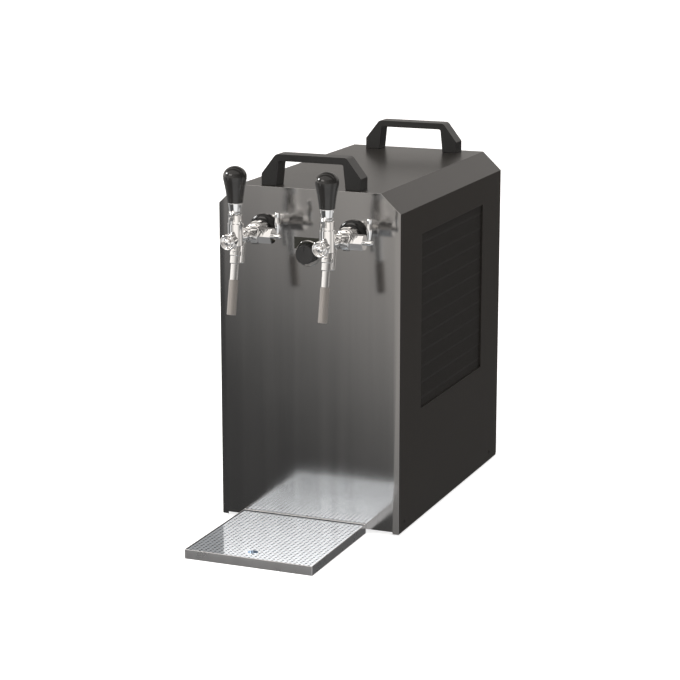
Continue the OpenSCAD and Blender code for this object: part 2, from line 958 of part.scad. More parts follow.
// What a pin of the given width swings through about the pivot, upwards or downwards
module swing(width, reach, up) {
    fore = swing_fore;
    back = swing_back;
    half = width / 2;
    far = (reach + half) / cos((fore + back) / 2);
    front_edge = [cos(fore), -sin(fore)] * half;
    back_edge = [-cos(back), -sin(back)] * half;
    way = up ? 1 : -1;
    translate([0, -valve_out, pivot_h]) seen_from_side(width) polygon([
        way * front_edge, way * (front_edge + [sin(fore), cos(fore)] * far),
        way * (back_edge + [-sin(back), cos(back)] * far), way * back_edge
    ]);
}

module rosette(side) {
    r = rosette_dia / 2;
    rim = rosette_t / 3;
    color("#101010") at_tap(side) forwards()
        turned(concat(
            [[r, 0], [r, rim]],
            [for (p = dome(r - shank_flange_r, rosette_t - rim, rim, steps = 6)) p + [shank_flange_r, 0]]
        ), bore = shank_r + thread_gap);
}

module shank(side) {
    color("#b9b9b4") at_tap(side) forwards()
        turned([
            [shank_r, -shank_in], [shank_r, rosette_t],
            [shank_flange_r, rosette_t], [shank_flange_r, nut_from],
            [shank_r, nut_from], [shank_r, shank_out]
        ], bore = shank_bore / 2);
}

module shank_nut(side) {
    color("#b9b9b4") at_tap(side) forwards()
        translate([0, 0, -panel_t - lock_nut_t]) difference() {
            hexagon(lock_nut_af, lock_nut_t);
            translate([0, 0, -cut]) cylinder(r = shank_r + thread_gap, h = lock_nut_t + 2 * cut);
        }
}

module coupling_nut(side) {
    crown = nut_to - nut_shoulder;
    mouth = barrel_r + tail_gap;
    color("#e4e4e4") at_tap(side) forwards() difference() {
        turned(concat(
            [[nut_r - groove, nut_from], [nut_r, nut_from + groove]],
            [for (p = dome(nut_r - mouth, nut_shoulder, crown)) p + [mouth, 0]]
        ), bore = mouth);
        translate([0, 0, nut_from - cut])
            cylinder(r = shank_r + thread_gap, h = cut + shank_out - nut_from);
        translate([0, 0, shank_out - cut])
            cylinder(r = tail_r + tail_gap, h = nut_front_from - shank_out + cut);
        for (i = [0:3])
            rotate(45 + 90 * i) translate([nut_r - nut_slot_depth, -nut_slot_w / 2, nut_from + nut_slot_w])
                cube([nut_slot_depth + cut, nut_slot_w, nut_slot_w]);
    }
}

module tap_body(side) {
    swell = comp_out - swell_half;
    color("#e8e8e8") at_tap(side) difference() {
        union() {
            forwards() turned([
                [tail_r, tail_from], [tail_r, tail_from + tail_t], [barrel_r, tail_from + tail_t],
                [barrel_r, swell], [swell_r, swell + swell_half / 2], [swell_r, comp_out + swell_half / 2],
                [barrel_r, comp_out + swell_half], [barrel_r, barrel_to]
            ]);
            translate([0, -valve_out, 0]) turned([
                [housing_r, 0], [housing_r, parting_h - 3 * groove],
                [housing_r - groove, parting_h - 2 * groove],
                [bonnet_r, parting_h - 2 * groove], [bonnet_r, parting_h]
            ]);
            translate([0, -comp_out, comp_h]) rightwards() {
                cylinder(r = swell_r, h = comp_ring_from + cut);
                translate([0, 0, comp_ring_from]) turned([
                    [comp_ring_r - 2 * groove, 0], [comp_ring_r, 2 * groove],
                    [comp_ring_r, comp_ring_l - 2 * groove], [comp_ring_r - 2 * groove, comp_ring_l]
                ]);
                intersection() {
                    hexagon(comp_hex_af, comp_hex_to);
                    turned([
                        [comp_hex_af, 0], [comp_hex_af, comp_hex_to - comp_hex_af / 8],
                        [comp_hex_af / 2, comp_hex_to]
                    ]);
                }
            }
            along_spout(spout_root) cylinder(r = neck_r, h = neck_l);
            along_spout(creamer_root) cylinder(r = creamer_boss_r, h = creamer_boss_l);
        }
        forwards() translate([0, 0, tail_from - cut])
            cylinder(r = bore_r, h = barrel_to - tail_from + 2 * cut);
        translate([0, -valve_out, 0]) cylinder(r = ball_r + free, h = parting_h + cut);
        translate([0, -valve_out, pivot_h]) cylinder(r = plug_r + thread_gap, h = parting_h);
        swing(tail_pin_dia + 2 * free, tail_reach, up = false);
        swing(stem_pin_dia + 2 * free, bonnet_dome_r + cut, up = true);
        translate([0, -comp_out, comp_h]) rightwards()
            cylinder(d = spindle_dia + 2 * slip, h = comp_hex_to + cut);
        along_spout(spout_root) cylinder(d = spout_bore, h = neck_l + cut);
        along_spout(creamer_root) cylinder(r = creamer_dia / 2 - creamer_wall, h = creamer_boss_l + cut);
    }
}

// The dome's centre is the lever's pivot, so the lever's cup slides over it
module bonnet(side) {
    edge = bonnet_r - groove;
    crest = asin(edge / bonnet_dome_r);
    dome_steps = 8;
    color("#ececec") at_tap(side) difference() {
        translate([0, -valve_out, 0]) turned(concat(
            [[plug_r, pivot_h], [plug_r, parting_h], [bonnet_r, parting_h],
             [bonnet_r, pivot_h + bonnet_dome_r * cos(crest) - groove]],
            [for (i = [0:dome_steps]) let (a = crest * (1 - i / dome_steps))
                [bonnet_dome_r * sin(a), pivot_h + bonnet_dome_r * cos(a)]]
        ));
        translate([0, -valve_out, pivot_h]) sphere(ball_r + free);
        swing(stem_pin_dia + 2 * free, bonnet_dome_r + cut, up = true);
    }
}

module front_cap(side) {
    inner = cap_r - cap_rim;
    color("#f0f0f0") at_tap(side) forwards() {
        difference() {
            turned([
                [bore_r - thread_gap, cap_from - cap_plug_l], [bore_r - thread_gap, cap_from],
                [cap_r - groove, cap_from], [cap_r, cap_from + groove],
                [cap_r, cap_from + cap_t - groove], [cap_r - groove, cap_from + cap_t]
            ]);
            translate([0, 0, cap_from + cap_t - cap_recess]) difference() {
                cylinder(r = inner, h = cap_recess + cut);
                cylinder(r = cap_hub_r, h = cap_recess + cut);
                translate([-groove, -inner, 0]) cube([2 * groove, 2 * inner, cap_recess - groove]);
            }
        }
        translate([0, 0, cap_from + cap_t]) turned(dome(cap_hub_r, cap_hub_r / 3, 0, steps = 6));
    }
}

module tap_lever(side) {
    cup = neck_low_r;
    rim = pivot_h + sqrt(cup_r * cup_r - cup * cup);
    color("#ececec") at_tap(side) translate([0, -valve_out, 0]) {
        difference() {
            turned([
                [cup, rim - 2 * groove], [cup, rim + groove], [neck_low_r + groove, rim + 3 * groove],
                [neck_low_r, rim + 5 * groove], [neck_top_r, neck_top - 2 * groove], [neck_top_r, neck_top]
            ]);
            translate([0, 0, pivot_h]) sphere(cup_r);
        }
        translate([0, 0, pivot_h]) cylinder(d = stem_pin_dia, h = neck_top - pivot_h - cut);
        translate([0, 0, pivot_h]) sphere(ball_r);
        translate([0, 0, pivot_h - tail_reach]) cylinder(d = tail_pin_dia, h = tail_reach);
        translate([0, 0, neck_top - cut]) cylinder(d = stud_dia, h = stud_l + cut);
    }
}

module lever_knob(side) {
    low = knob_low_dia / 2;
    r = knob_dia / 2;
    belly = knob_h * knob_side_shares[len(knob_side_shares) - 1][1];
    color("#151515") at_tap(side) translate([0, -valve_out, neck_top]) difference() {
        turned(concat(
            [for (p = knob_side_shares) [low + (r - low) * p[0], knob_h * p[1]]],
            dome(r, knob_h - belly, belly, steps = 10)
        ));
        translate([0, 0, -cut]) cylinder(d = stud_dia + 2 * thread_gap, h = stud_l + free + cut);
    }
}

module valve_piston(side) {
    rear_ring = piston_rear + piston_land;
    front_ring = piston_front - piston_land;
    color("#c9b27a") at_tap(side) difference() {
        forwards() turned([
            [piston_r, piston_rear], [piston_r, rear_ring],
            [piston_r - groove, rear_ring], [piston_r - groove, rear_ring + 2 * groove],
            [piston_r, rear_ring + 2 * groove], [piston_r, front_ring - 2 * groove],
            [piston_r - groove, front_ring - 2 * groove], [piston_r - groove, front_ring],
            [piston_r, front_ring], [piston_r, piston_front]
        ]);
        translate([-piston_slot_w / 2, -valve_out - piston_slot_l / 2, -piston_slot_floor])
            cube([piston_slot_w, piston_slot_l, piston_slot_floor + piston_r + cut]);
    }
}

module compensator_lever(side) {
    color("#f0f0f0") at_tap(side) translate([0, -comp_out, comp_h]) {
        rightwards() turned(concat(
            [[spindle_dia / 2, spindle_from], [spindle_dia / 2, comp_hex_to + free],
             [hub_r, comp_hex_to + free], [hub_r, comp_tip - hub_r]],
            dome(hub_r, hub_r, comp_tip - hub_r, steps = 6)
        ));
        translate([comp_rod_x, 0, 0]) turned([
            [rod_low_r, 0], [rod_low_r, comp_rod_h * rod_shares[0]],
            [rod_r, comp_rod_h * rod_shares[1]], [rod_r, comp_rod_h * rod_shares[2]],
            [bead_r - groove, comp_rod_h * bead_shares[0]], [bead_r, comp_rod_h * bead_shares[1]],
            [bead_r, comp_rod_h * bead_shares[2]], [bead_r - groove, comp_rod_h]
        ]);
    }
}

module spout(side) {
    tube_r = spout_dia / 2;
    collar_to = neck_l + collar_l;
    color("#eeeeee") at_tap(side) along_spout(spout_root)
        turned([
            [collar_r - groove, neck_l], [collar_r, neck_l + groove], [collar_r, neck_l + collar_l / 3],
            [collar_r - groove, neck_l + collar_l / 3 + groove], [collar_r - groove, collar_to - groove],
            [tube_r, collar_to], [tube_r, tip_from + tip_lap]
        ], bore = spout_bore / 2);
}

module spout_tip(side) {
    r = tip_dia / 2;
    seat = spout_dia / 2 + thread_gap;
    color("#8f8a84") at_tap(side) along_spout(spout_root) difference() {
        turned([
            [r - groove, tip_from], [r, tip_from + groove], [r, tip_from + tip_l - groove],
            [r - groove, tip_from + tip_l]
        ], bore = tip_bore_r);
        translate([0, 0, tip_from - cut]) cylinder(r = seat, h = tip_lap + free + cut);
    }
}

module creamer_tube(side) {
    r = creamer_dia / 2;
    color("#d6d6d6") at_tap(side) along_spout(creamer_root)
        turned([
            [r, creamer_boss_l], [r, creamer_boss_l + creamer_l - groove],
            [r - groove, creamer_boss_l + creamer_l]
        ], bore = r - creamer_wall);
}

// Cooling unit

// Room for a beer line, as wide as the given radius
module beer_line(side, r) {
    in_y = rear_y - inlet_in + line_seat;
    x = side * tap_spacing / 2;
    out = [[x, line_y, tap_z], [x, shank_in, tap_z]];
    path = side > 0
        ? concat([[x, in_y, line_z], [x, line_y, line_z]], out)
        : concat([[line_left_x, in_y, line_z], [line_left_x, line_turn_y, line_z], [x, line_turn_y, line_z],
                  [x, line_y, line_z]], out);
    bent_line(path, r, line_bend);
}

module beer_line_left() {
    color("#d8dde0") in_case() beer_line(LEFT, line_r);
}

module beer_line_right() {
    color("#d8dde0") in_case() beer_line(RIGHT, line_r);
}

module cold_block() {
    color("#dad6c8") in_case() difference() {
        translate([0, block_y + block_d / 2, floor_z + sheet_t])
            pillar(block_w, block_d, block_h, block_corner);
        beer_line(LEFT, line_r + free);
        beer_line(RIGHT, line_r + free);
    }
}

module compressor() {
    base = floor_z + sheet_t;
    foot = compressor_foot_h;
    color("#1f1f1f") in_case() translate([compressor_x, compressor_y, base]) {
        translate([0, 0, foot]) turned(concat(
            [for (p = shell_shares) [compressor_r * p[0], compressor_h * p[1]]],
            [[compressor_r + compressor_bead, compressor_h * weld_shares[0]],
             [compressor_r + compressor_bead, compressor_h * weld_shares[1]],
             [compressor_r, compressor_h * weld_shares[2]]],
            dome(compressor_r, compressor_h * crown_shares[0], compressor_h * crown_shares[1])
        ));
        translate([0, 0, foot])
            pillar(compressor_base_w, compressor_base_w, compressor_base_t, compressor_base_corner);
        for (x = [-1, 1], y = [-1, 1])
            translate([x * compressor_foot_at, y * compressor_foot_at, 0])
                cylinder(r = compressor_foot_r, h = foot + compressor_base_t / 2);
        translate([0, 0, compressor_h * suction_share]) forwards()
            cylinder(r = stub_r, h = compressor_r + stub_l);
        translate([compressor_r / 2, 0, compressor_h * discharge_share])
            cylinder(r = stub_r, h = compressor_h * (1 - discharge_share) + stub_l);
    }
}

module condenser() {
    color("#8a8f90") in_case() translate([shroud_x + shroud_t, condenser_y, condenser_z]) {
        for (i = [0:fin_count - 1])
            translate([0, i * (condenser_l - fin_t) / (fin_count - 1), 0])
                cube([fin_depth, fin_t, condenser_h]);
        for (k = [0:tube_rows - 1])
            translate([condenser_t / 2, 0, (k + 0.5) * condenser_h / tube_rows]) backwards()
                cylinder(r = tube_r, h = condenser_l);
        translate([condenser_t / 2, -stub_l, condenser_h * port_share]) backwards()
            cylinder(r = stub_r, h = stub_l + fin_t);
        translate([condenser_t / 2, condenser_l / 2, condenser_h * (1 - port_share)])
            cylinder(r = stub_r, h = condenser_h * port_share + stub_l);
    }
}

module fan_shroud() {
    low = floor_z + sheet_t;
    color("#3c3c3c") in_case() difference() {
        union() {
            difference() {
                union() {
                    translate([shroud_x, shroud_y, low]) cube([shroud_t, shroud_l, shroud_h - low]);
                    translate([shroud_x - flange_h, shroud_y, low]) cube([flange_h, shroud_l, shroud_t]);
                }
                translate([shroud_x - cut, fan_y, fan_z]) rightwards()
                    cylinder(r = fan_r + fan_gap, h = shroud_t + 2 * cut);
            }
            for (a = [0, 90])
                translate([shroud_x - fan_hub_l - motor_gap, fan_y, fan_z]) rotate([a, 0, 0])
                    translate([-shroud_t, -arm_w / 2, -fan_r - arm_w])
                    cube([shroud_t, arm_w, 2 * (fan_r + arm_w)]);
            for (a = [0:90:270])
                translate([shroud_x - fan_hub_l - motor_gap - shroud_t, fan_y, fan_z]) rotate([a, 0, 0])
                    translate([0, -arm_w / 2, fan_r + arm_w - shroud_t])
                    cube([fan_hub_l + motor_gap + 2 * shroud_t, arm_w, shroud_t]);
            translate([shroud_x - fan_hub_l - motor_gap - motor_l, fan_y, fan_z]) rightwards()
                cylinder(r = motor_r, h = motor_l);
        }
        translate([shroud_x - fan_hub_l - motor_gap - motor_l / 2, fan_y, fan_z]) rightwards()
            cylinder(d = fan_shaft_dia + 2 * slip, h = motor_l);
    }
}

module fan_rotor() {
    hub_from = -fan_hub_l;
    color("#1c1c1c") in_case() translate([shroud_x, fan_y, fan_z]) rightwards() {
        translate([0, 0, hub_from]) cylinder(r = fan_hub_r, h = fan_hub_l - motor_gap);
        translate([0, 0, hub_from - motor_gap - motor_l / 2 + free])
            cylinder(d = fan_shaft_dia, h = motor_gap + motor_l / 2 + cut);
        intersection() {
            translate([0, 0, hub_from]) cylinder(r = fan_r, h = fan_hub_l - motor_gap);
            for (i = [0:fan_blades - 1])
                rotate(360 * i / fan_blades)
                    translate([fan_hub_r - blade_t, 0, hub_from + fan_hub_l / 2]) rotate([blade_pitch, 0, 0])
                    translate([0, -blade_w / 2, -blade_t / 2]) cube([fan_r, blade_w, blade_t]);
        }
    }
}

module control_box() {
    color("#202020") in_case() translate([control_x - control_w / 2, rear_y - control_d, control_z])
        cube([control_w, control_d, control_h]);
}

module refrigerant_lines() {
    base = floor_z + sheet_t;
    block_back = block_y + block_d;
    hot_x = compressor_x + compressor_r / 2;
    hot_top = shroud_h + gas_rise;
    cond_x = shroud_x + shroud_t + condenser_t / 2;
    cond_y = condenser_y + condenser_l / 2;
    out_y = condenser_y - stub_l;
    out_z = condenser_z + condenser_h * port_share;
    suction_z = base + compressor_h * suction_share;
    color("#b87333") in_case() {
        bent_line([
            [compressor_x, block_back, suction_z],
            [compressor_x, compressor_y - compressor_r - stub_l, suction_z]
        ], gas_line_r, gas_bend);
        bent_line([
            [hot_x, compressor_y, base + compressor_h + stub_l], [hot_x, compressor_y, hot_top],
            [cond_x, compressor_y, hot_top], [cond_x, cond_y, hot_top],
            [cond_x, cond_y, condenser_z + condenser_h + stub_l]
        ], gas_line_r, gas_bend);
        bent_line([
            [cond_x, out_y, out_z], [cond_x, out_y - gas_reach, out_z],
            [block_w / 4, out_y - gas_reach, out_z], [block_w / 4, block_back, out_z]
        ], gas_line_r, gas_bend);
    }
}

// Rear connections

module beer_inlet(x) {
    color("#c4c6c8") in_case() translate([x, case_d, line_z]) backwards() difference() {
        union() {
            turned([
                [inlet_thread_r, -sheet_t - inlet_in], [inlet_thread_r, 0], [inlet_shoulder_r, 0],
                [inlet_shoulder_r, inlet_hex_t], [stem_dia / 2, inlet_hex_t],
                [stem_dia / 2, inlet_hex_t + stem_l - groove], [stem_dia / 2 - groove, inlet_hex_t + stem_l]
            ]);
            hexagon(inlet_hex_af, inlet_hex_t);
            translate([0, 0, -sheet_t - inlet_nut_t]) hexagon(inlet_hex_af, inlet_nut_t);
        }
        translate([0, 0, -sheet_t - inlet_in - cut]) {
            cylinder(r = line_r + slip, h = line_seat + cut + free);
            cylinder(
                r = stem_dia / 2 - 2 * groove,
                h = inlet_in + sheet_t + inlet_hex_t + stem_l + 2 * cut
            );
        }
    }
}

module beer_inlet_left() {
    beer_inlet(line_left_x);
}

module beer_inlet_right() {
    beer_inlet(tap_spacing / 2);
}

module cable_gland() {
    lip = lead_dia / 2 + groove;
    color("#101010") in_case() translate([gland_x, case_d, gland_z]) backwards() difference() {
        union() {
            turned(concat(
                [[gland_thread_r, -sheet_t - gland_in], [gland_thread_r, 0], [gland_r, 0],
                 [gland_r, gland_hex_t + gland_l / 2]],
                [for (p = dome(gland_r - lip, gland_l / 2, gland_hex_t + gland_l / 2, steps = 6))
                    p + [lip, 0]]
            ));
            hexagon(gland_hex_af, gland_hex_t);
            translate([0, 0, -sheet_t - gland_hex_t]) hexagon(gland_hex_af, gland_hex_t);
        }
        translate([0, 0, -sheet_t - gland_in - cut])
            cylinder(
                d = lead_dia + 2 * thread_gap,
                h = gland_in + sheet_t + gland_hex_t + gland_l + 2 * cut
            );
    }
}

base_pan();
front_panel();
case_cover();
rear_panel();
side_grille_left();
side_grille_right();
front_handle();
rear_handle();
handle_screws();
feet();
cover_screws();
drip_tray();
tray_grid();
thermostat_knob();
dial_ring();
dial_plate();
thermostat();
switch_housing();
switch_rocker();
compressor();
condenser();
fan_shroud();
fan_rotor();
cold_block();
control_box();
beer_line_left();
beer_line_right();
beer_inlet_left();
beer_inlet_right();
cable_gland();
refrigerant_lines();
rosette(LEFT);  // rosette_left
shank(LEFT);  // shank_left
shank_nut(LEFT);  // shank_nut_left
coupling_nut(LEFT);  // coupling_nut_left
tap_body(LEFT);  // tap_body_left
bonnet(LEFT);  // bonnet_left
front_cap(LEFT);  // front_cap_left
tap_lever(LEFT);  // tap_lever_left
lever_knob(LEFT);  // lever_knob_left
valve_piston(LEFT);  // valve_piston_left
compensator_lever(LEFT);  // compensator_lever_left
spout(LEFT);  // spout_left
spout_tip(LEFT);  // spout_tip_left
creamer_tube(LEFT);  // creamer_tube_left
rosette(RIGHT);  // rosette_right
shank(RIGHT);  // shank_right
shank_nut(RIGHT);  // shank_nut_right
coupling_nut(RIGHT);  // coupling_nut_right
tap_body(RIGHT);  // tap_body_right
bonnet(RIGHT);  // bonnet_right
front_cap(RIGHT);  // front_cap_right
tap_lever(RIGHT);  // tap_lever_right
lever_knob(RIGHT);  // lever_knob_right
valve_piston(RIGHT);  // valve_piston_right
compensator_lever(RIGHT);  // compensator_lever_right
spout(RIGHT);  // spout_right
spout_tip(RIGHT);  // spout_tip_right
creamer_tube(RIGHT);  // creamer_tube_right
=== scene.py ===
"""Two-tap draft beer dispenser: finishes, taps, handles, tray grid, and the stage round them."""

import math

import bpy
from mathutils import Euler, Matrix, Vector


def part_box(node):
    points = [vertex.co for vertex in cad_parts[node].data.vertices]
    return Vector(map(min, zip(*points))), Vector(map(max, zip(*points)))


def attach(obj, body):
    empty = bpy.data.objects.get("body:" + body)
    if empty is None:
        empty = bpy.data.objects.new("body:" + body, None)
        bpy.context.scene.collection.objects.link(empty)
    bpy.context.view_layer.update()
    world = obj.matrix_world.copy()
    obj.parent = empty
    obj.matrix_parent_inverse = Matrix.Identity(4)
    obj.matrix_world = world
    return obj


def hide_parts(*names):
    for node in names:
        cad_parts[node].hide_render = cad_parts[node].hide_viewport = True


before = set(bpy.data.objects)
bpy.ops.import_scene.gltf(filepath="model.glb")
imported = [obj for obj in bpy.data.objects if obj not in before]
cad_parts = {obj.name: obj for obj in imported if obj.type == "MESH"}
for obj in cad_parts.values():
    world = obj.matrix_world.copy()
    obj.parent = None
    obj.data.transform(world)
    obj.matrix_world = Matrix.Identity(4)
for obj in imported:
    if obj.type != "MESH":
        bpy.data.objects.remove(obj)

bl_info = {
    "name": "Beer dispenser",
    "version": (1, 0, 0),
    "blender": (4, 5, 0),
    "location": "3D View > Sidebar > Dispenser",
    "description": "Dresses a two-tap draft beer dispenser and sets its stage",
    "category": "Object",
}

MM = 0.001
TOUCH = 0.01 * MM
SIDES = ("left", "right")
FORWARDS = (90, 0, 0)
RIGHTWARDS = (0, 90, 0)
EVENLY = (1, 1, 1)
WHITE = (1, 1, 1)
SMOOTH_ANGLE = 32
SIDES_OF_ROUND = 72
SIDES_OF_FINE_ROUND = 96

# The tap in millimetres: reach is measured forwards from the panel, rise up from the barrel's axis
VALVE_REACH = 103
FLOW_REACH = 62
FLOW_RISE = 1
SPOUT_REACH = 100
FOAM_REACH = 74
NOSE_REACH = 122
SPOUT_TILT = 10.8
PIVOT_RISE = 20
TILT_FORWARDS = 35
TILT_BACK = 10
GAP = 0.3

# Radii that several of the tap's pieces share
SHANK_ROOM = 8.1
BARREL = 8.5
BONNET = 11
BONNET_PLUG = 8.5
DOME = 20.6
PIVOT_BALL = 5.5
TAIL_PIN = 1.6
STEM = 3.5
STUD = 4
SPINDLE = 3.4
BEER_WAY = 4.2
FOAM_WAY = 2.3
SPOUT_TUBE = 6

# Rises along the lever's axis
BONNET_SEAT = 26.5
KNOB_SEAT = 55.4
STUD_TOP = 70.4


# Places taken from the solids

def middle(node):
    low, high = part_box(node)
    return (low + high) / 2


def extent(node):
    low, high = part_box(node)
    return high - low


PANEL_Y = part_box("front_panel")[0].y
TAP_X = {side: middle(f"front_cap_{side}").x for side in SIDES}
TAP_Z = middle("front_cap_left").z
GRID_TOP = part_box("tray_grid")[1].z


# Shader maths

class Value:
    """A shader number that adds and multiplies as Python's do."""

    def __init__(self, finish, socket):
        self.finish = finish
        self.socket = socket

    def join(self, operation, other, other_first=False):
        pair = (other, self) if other_first else (self, other)
        return self.finish.math(operation, *pair)

    def __add__(self, other):
        return self.join("ADD", other)

    __radd__ = __add__

    def __sub__(self, other):
        return self.join("SUBTRACT", other)

    def __rsub__(self, other):
        return self.join("SUBTRACT", other, True)

    def __mul__(self, other):
        return self.join("MULTIPLY", other)

    __rmul__ = __mul__

    def __truediv__(self, other):
        return self.join("DIVIDE", other)

    def __pow__(self, other):
        return self.join("POWER", other)

    def ramp(self, low, high):
        """0 below low, 1 above high, smooth between."""
        return self.finish.value("ShaderNodeMapRange", {"interpolation_type": "SMOOTHSTEP"},
                                 {0: self, 1: low, 2: high})

    def band(self, start, full, fade, end):
        """1 from full to fade, 0 before start and after end, smooth between."""
        return self.ramp(start, full) - self.ramp(fade, end)


def blend(share, low, high):
    return low + share * (high - low)


class Finish:
    """A material, or a world, and the nodes in it."""

    def __init__(self, owner, shader="ShaderNodeBsdfPrincipled"):
        self.owner = owner
        owner.use_nodes = True
        self.tree = owner.node_tree
        self.tree.nodes.clear()
        world = isinstance(owner, bpy.types.World)
        self.end = self.tree.nodes.new("ShaderNodeOutputWorld" if world else "ShaderNodeOutputMaterial")
        self.shader = self.tree.nodes.new(shader)
        self.tree.links.new(self.shader.outputs[0], self.end.inputs["Surface"])

    def give(self, socket, value):
        if isinstance(value, Value):
            value = value.socket
        if isinstance(value, bpy.types.NodeSocket):
            self.tree.links.new(value, socket)
        elif socket.type == "RGBA":
            socket.default_value = (*value, 1)
        else:
            socket.default_value = value

    def node(self, kind, settings=None, inputs=None):
        made = self.tree.nodes.new(kind)
        for name, value in (settings or {}).items():
            setattr(made, name, value)
        for name, value in (inputs or {}).items():
            self.give(made.inputs[name], value)
        return made

    def value(self, kind, settings=None, inputs=None):
        return Value(self, self.node(kind, settings, inputs).outputs[0])

    def math(self, operation, *values):
        return self.value("ShaderNodeMath", {"operation": operation}, dict(enumerate(values)))

    def noise(self, scale, detail=2, stretch=EVENLY):
        spot = self.node("ShaderNodeTexCoord").outputs["Object"]
        place = self.node("ShaderNodeMapping", None, {"Vector": spot, "Scale": stretch}).outputs[0]
        return self.value("ShaderNodeTexNoise", None, {"Vector": place, "Scale": scale, "Detail": detail})

    def mix(self, factor, low, high):
        colours = {"Factor": factor, 6: low, 7: high}
        return self.node("ShaderNodeMix", {"data_type": "RGBA"}, colours).outputs[2]

    def bump(self, height, strength, distance):
        return self.node("ShaderNodeBump", None,
                         {"Height": height, "Strength": strength, "Distance": distance}).outputs[0]

    def set(self, **sockets):
        for name, value in sockets.items():
            self.give(self.shader.inputs[name.replace("_", " ")], value)
        return self.owner


def material(name):
    return Finish(bpy.data.materials.new(name))


def grey(tone):
    return (tone, tone, tone)


def shade(colour, by):
    return tuple(min(1.0, part * by) for part in colour)


# Finishes

def brushed(name, colour, rough, stretch=EVENLY, metal=1.0):
    """Steel with brush lines along the axis whose stretch is small."""
    f = material(name)
    line = f.noise(60, 3, stretch)
    cloud = f.noise(9)
    return f.set(
        Base_Color=f.mix(line.ramp(0.3, 0.7) * 0.5 + cloud * 0.5, shade(colour, 0.95), shade(colour, 1.05)),
        Metallic=metal,
        Roughness=rough + (line - 0.5) * 0.04 + (cloud - 0.5) * 0.03,
        Normal=f.bump(line, 0.04, 0.2 * MM),
    )


def chrome(name, colour):
    """Plated metal with faint wiping marks."""
    f = material(name)
    smear = f.noise(45, 4, (1, 1, 0.3))
    return f.set(
        Base_Color=f.mix(smear, shade(colour, 0.98), shade(colour, 1.02)),
        Metallic=1.0,
        Roughness=0.035 + smear.ramp(0.45, 0.8) * 0.05,
        Normal=f.bump(f.noise(160), 0.02, 0.1 * MM),
    )


def paint(name, colour, rough):
    """Satin powder coat over sheet."""
    f = material(name)
    cloud = f.noise(7, 3)
    dots = f.noise(900)
    return f.set(
        Base_Color=f.mix(cloud, shade(colour, 0.9), shade(colour, 1.1)),
        Roughness=rough + (cloud - 0.5) * 0.06 + (dots - 0.5) * 0.05,
        Normal=f.bump(dots, 0.05, 0.03 * MM),
    )


def plastic(name, colour, rough=0.4, grain=0.15, gloss=0.5):
    """Moulded plastic with a fine spark-eroded grain."""
    f = material(name)
    dots = f.noise(1400)
    return f.set(
        Base_Color=f.mix(f.noise(18), shade(colour, 0.92), shade(colour, 1.08)),
        Roughness=rough + (dots - 0.5) * 0.1,
        Specular_IOR_Level=gloss,
        Normal=f.bump(dots, grain, 0.12 * MM),
    )


def rubber(name, colour):
    """Dull rubber with a coarse grain."""
    f = material(name)
    dots = f.noise(700, 3)
    return f.set(
        Base_Color=f.mix(dots, shade(colour, 0.8), shade(colour, 1.3)),
        Roughness=0.75 + dots * 0.1,
        Normal=f.bump(dots, 0.3, 0.2 * MM),
    )


def dress(finish, *nodes):
    """Gives CAD nodes their finish, through their material slots."""
    for name in nodes:
        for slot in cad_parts[name].material_slots:
            slot.material = finish


# Modelling steps

def clear():
    if bpy.context.object and bpy.context.object.mode != "OBJECT":
        bpy.ops.object.mode_set(mode="OBJECT")
    bpy.ops.object.select_all(action="DESELECT")


def edit():
    bpy.ops.object.mode_set(mode="EDIT")


def done():
    bpy.ops.object.mode_set(mode="OBJECT")


def only(piece):
    clear()
    piece.select_set(True)
    bpy.context.view_layer.objects.active = piece
    return piece


def modify(piece, kind, **settings):
    """Adds a modifier with these settings and applies it."""
    only(piece)
    step = piece.modifiers.new(kind.lower(), kind)
    for name, value in settings.items():
        setattr(step, name, value)
    bpy.ops.object.modifier_apply(modifier=step.name)
    return piece


def round_edges(piece, width, segments=2, angle=25):
    """Rounds the edges that turn by more than an angle, by a width in millimetres."""
    return modify(piece, "BEVEL", width=width * MM, segments=segments, limit_method="ANGLE",
                  angle_limit=math.radians(angle), harden_normals=False, use_clamp_overlap=True)


def settle(piece):
    """Applies the object's place to its mesh."""
    only(piece)
    bpy.ops.object.transform_apply(location=True, rotation=True, scale=True)
    return piece


def put(piece, place=(0, 0, 0), turn=(0, 0, 0)):
    """Turns a piece by degrees about the origin, moves it by millimetres, and applies both."""
    spin = Euler([math.radians(a) for a in turn]).to_matrix().to_4x4()
    piece.matrix_world = Matrix.Translation(Vector(place) * MM) @ spin @ piece.matrix_world
    return settle(piece)


def named(name):
    """The object that an operator has just added, under its own name."""
    piece = bpy.context.object
    piece.name = piece.data.name = name
    return piece


def drawn(name, outline):
    """Starts a piece as a line through points in metres, and leaves it in edit mode."""
    clear()
    bpy.ops.mesh.primitive_plane_add(size=MM)
    piece = named(name)
    edit()
    bpy.ops.mesh.select_all(action="SELECT")
    bpy.ops.mesh.merge(type="CENTER")
    bpy.ops.transform.translate(value=outline[0])
    for before, after in zip(outline, outline[1:]):
        step = tuple(b - a for a, b in zip(before, after))
        bpy.ops.mesh.extrude_region_move(TRANSFORM_OT_translate={"value": step})
    bpy.ops.mesh.select_all(action="SELECT")
    return piece


def spun(name, profile, bevel=0.0, sides=SIDES_OF_ROUND):
    """A turned piece about +Z from its outline in millimetres, [radius, height], open or closed."""
    piece = drawn(name, [(r * MM, 0, h * MM) for r, h in profile])
    bpy.ops.mesh.spin(steps=sides, angle=math.tau, center=(0, 0, 0), axis=(0, 0, 1))
    bpy.ops.mesh.select_all(action="SELECT")
    bpy.ops.mesh.remove_doubles(threshold=0.002 * MM)
    bpy.ops.mesh.normals_make_consistent(inside=False)
    done()
    return round_edges(piece, bevel) if bevel else piece


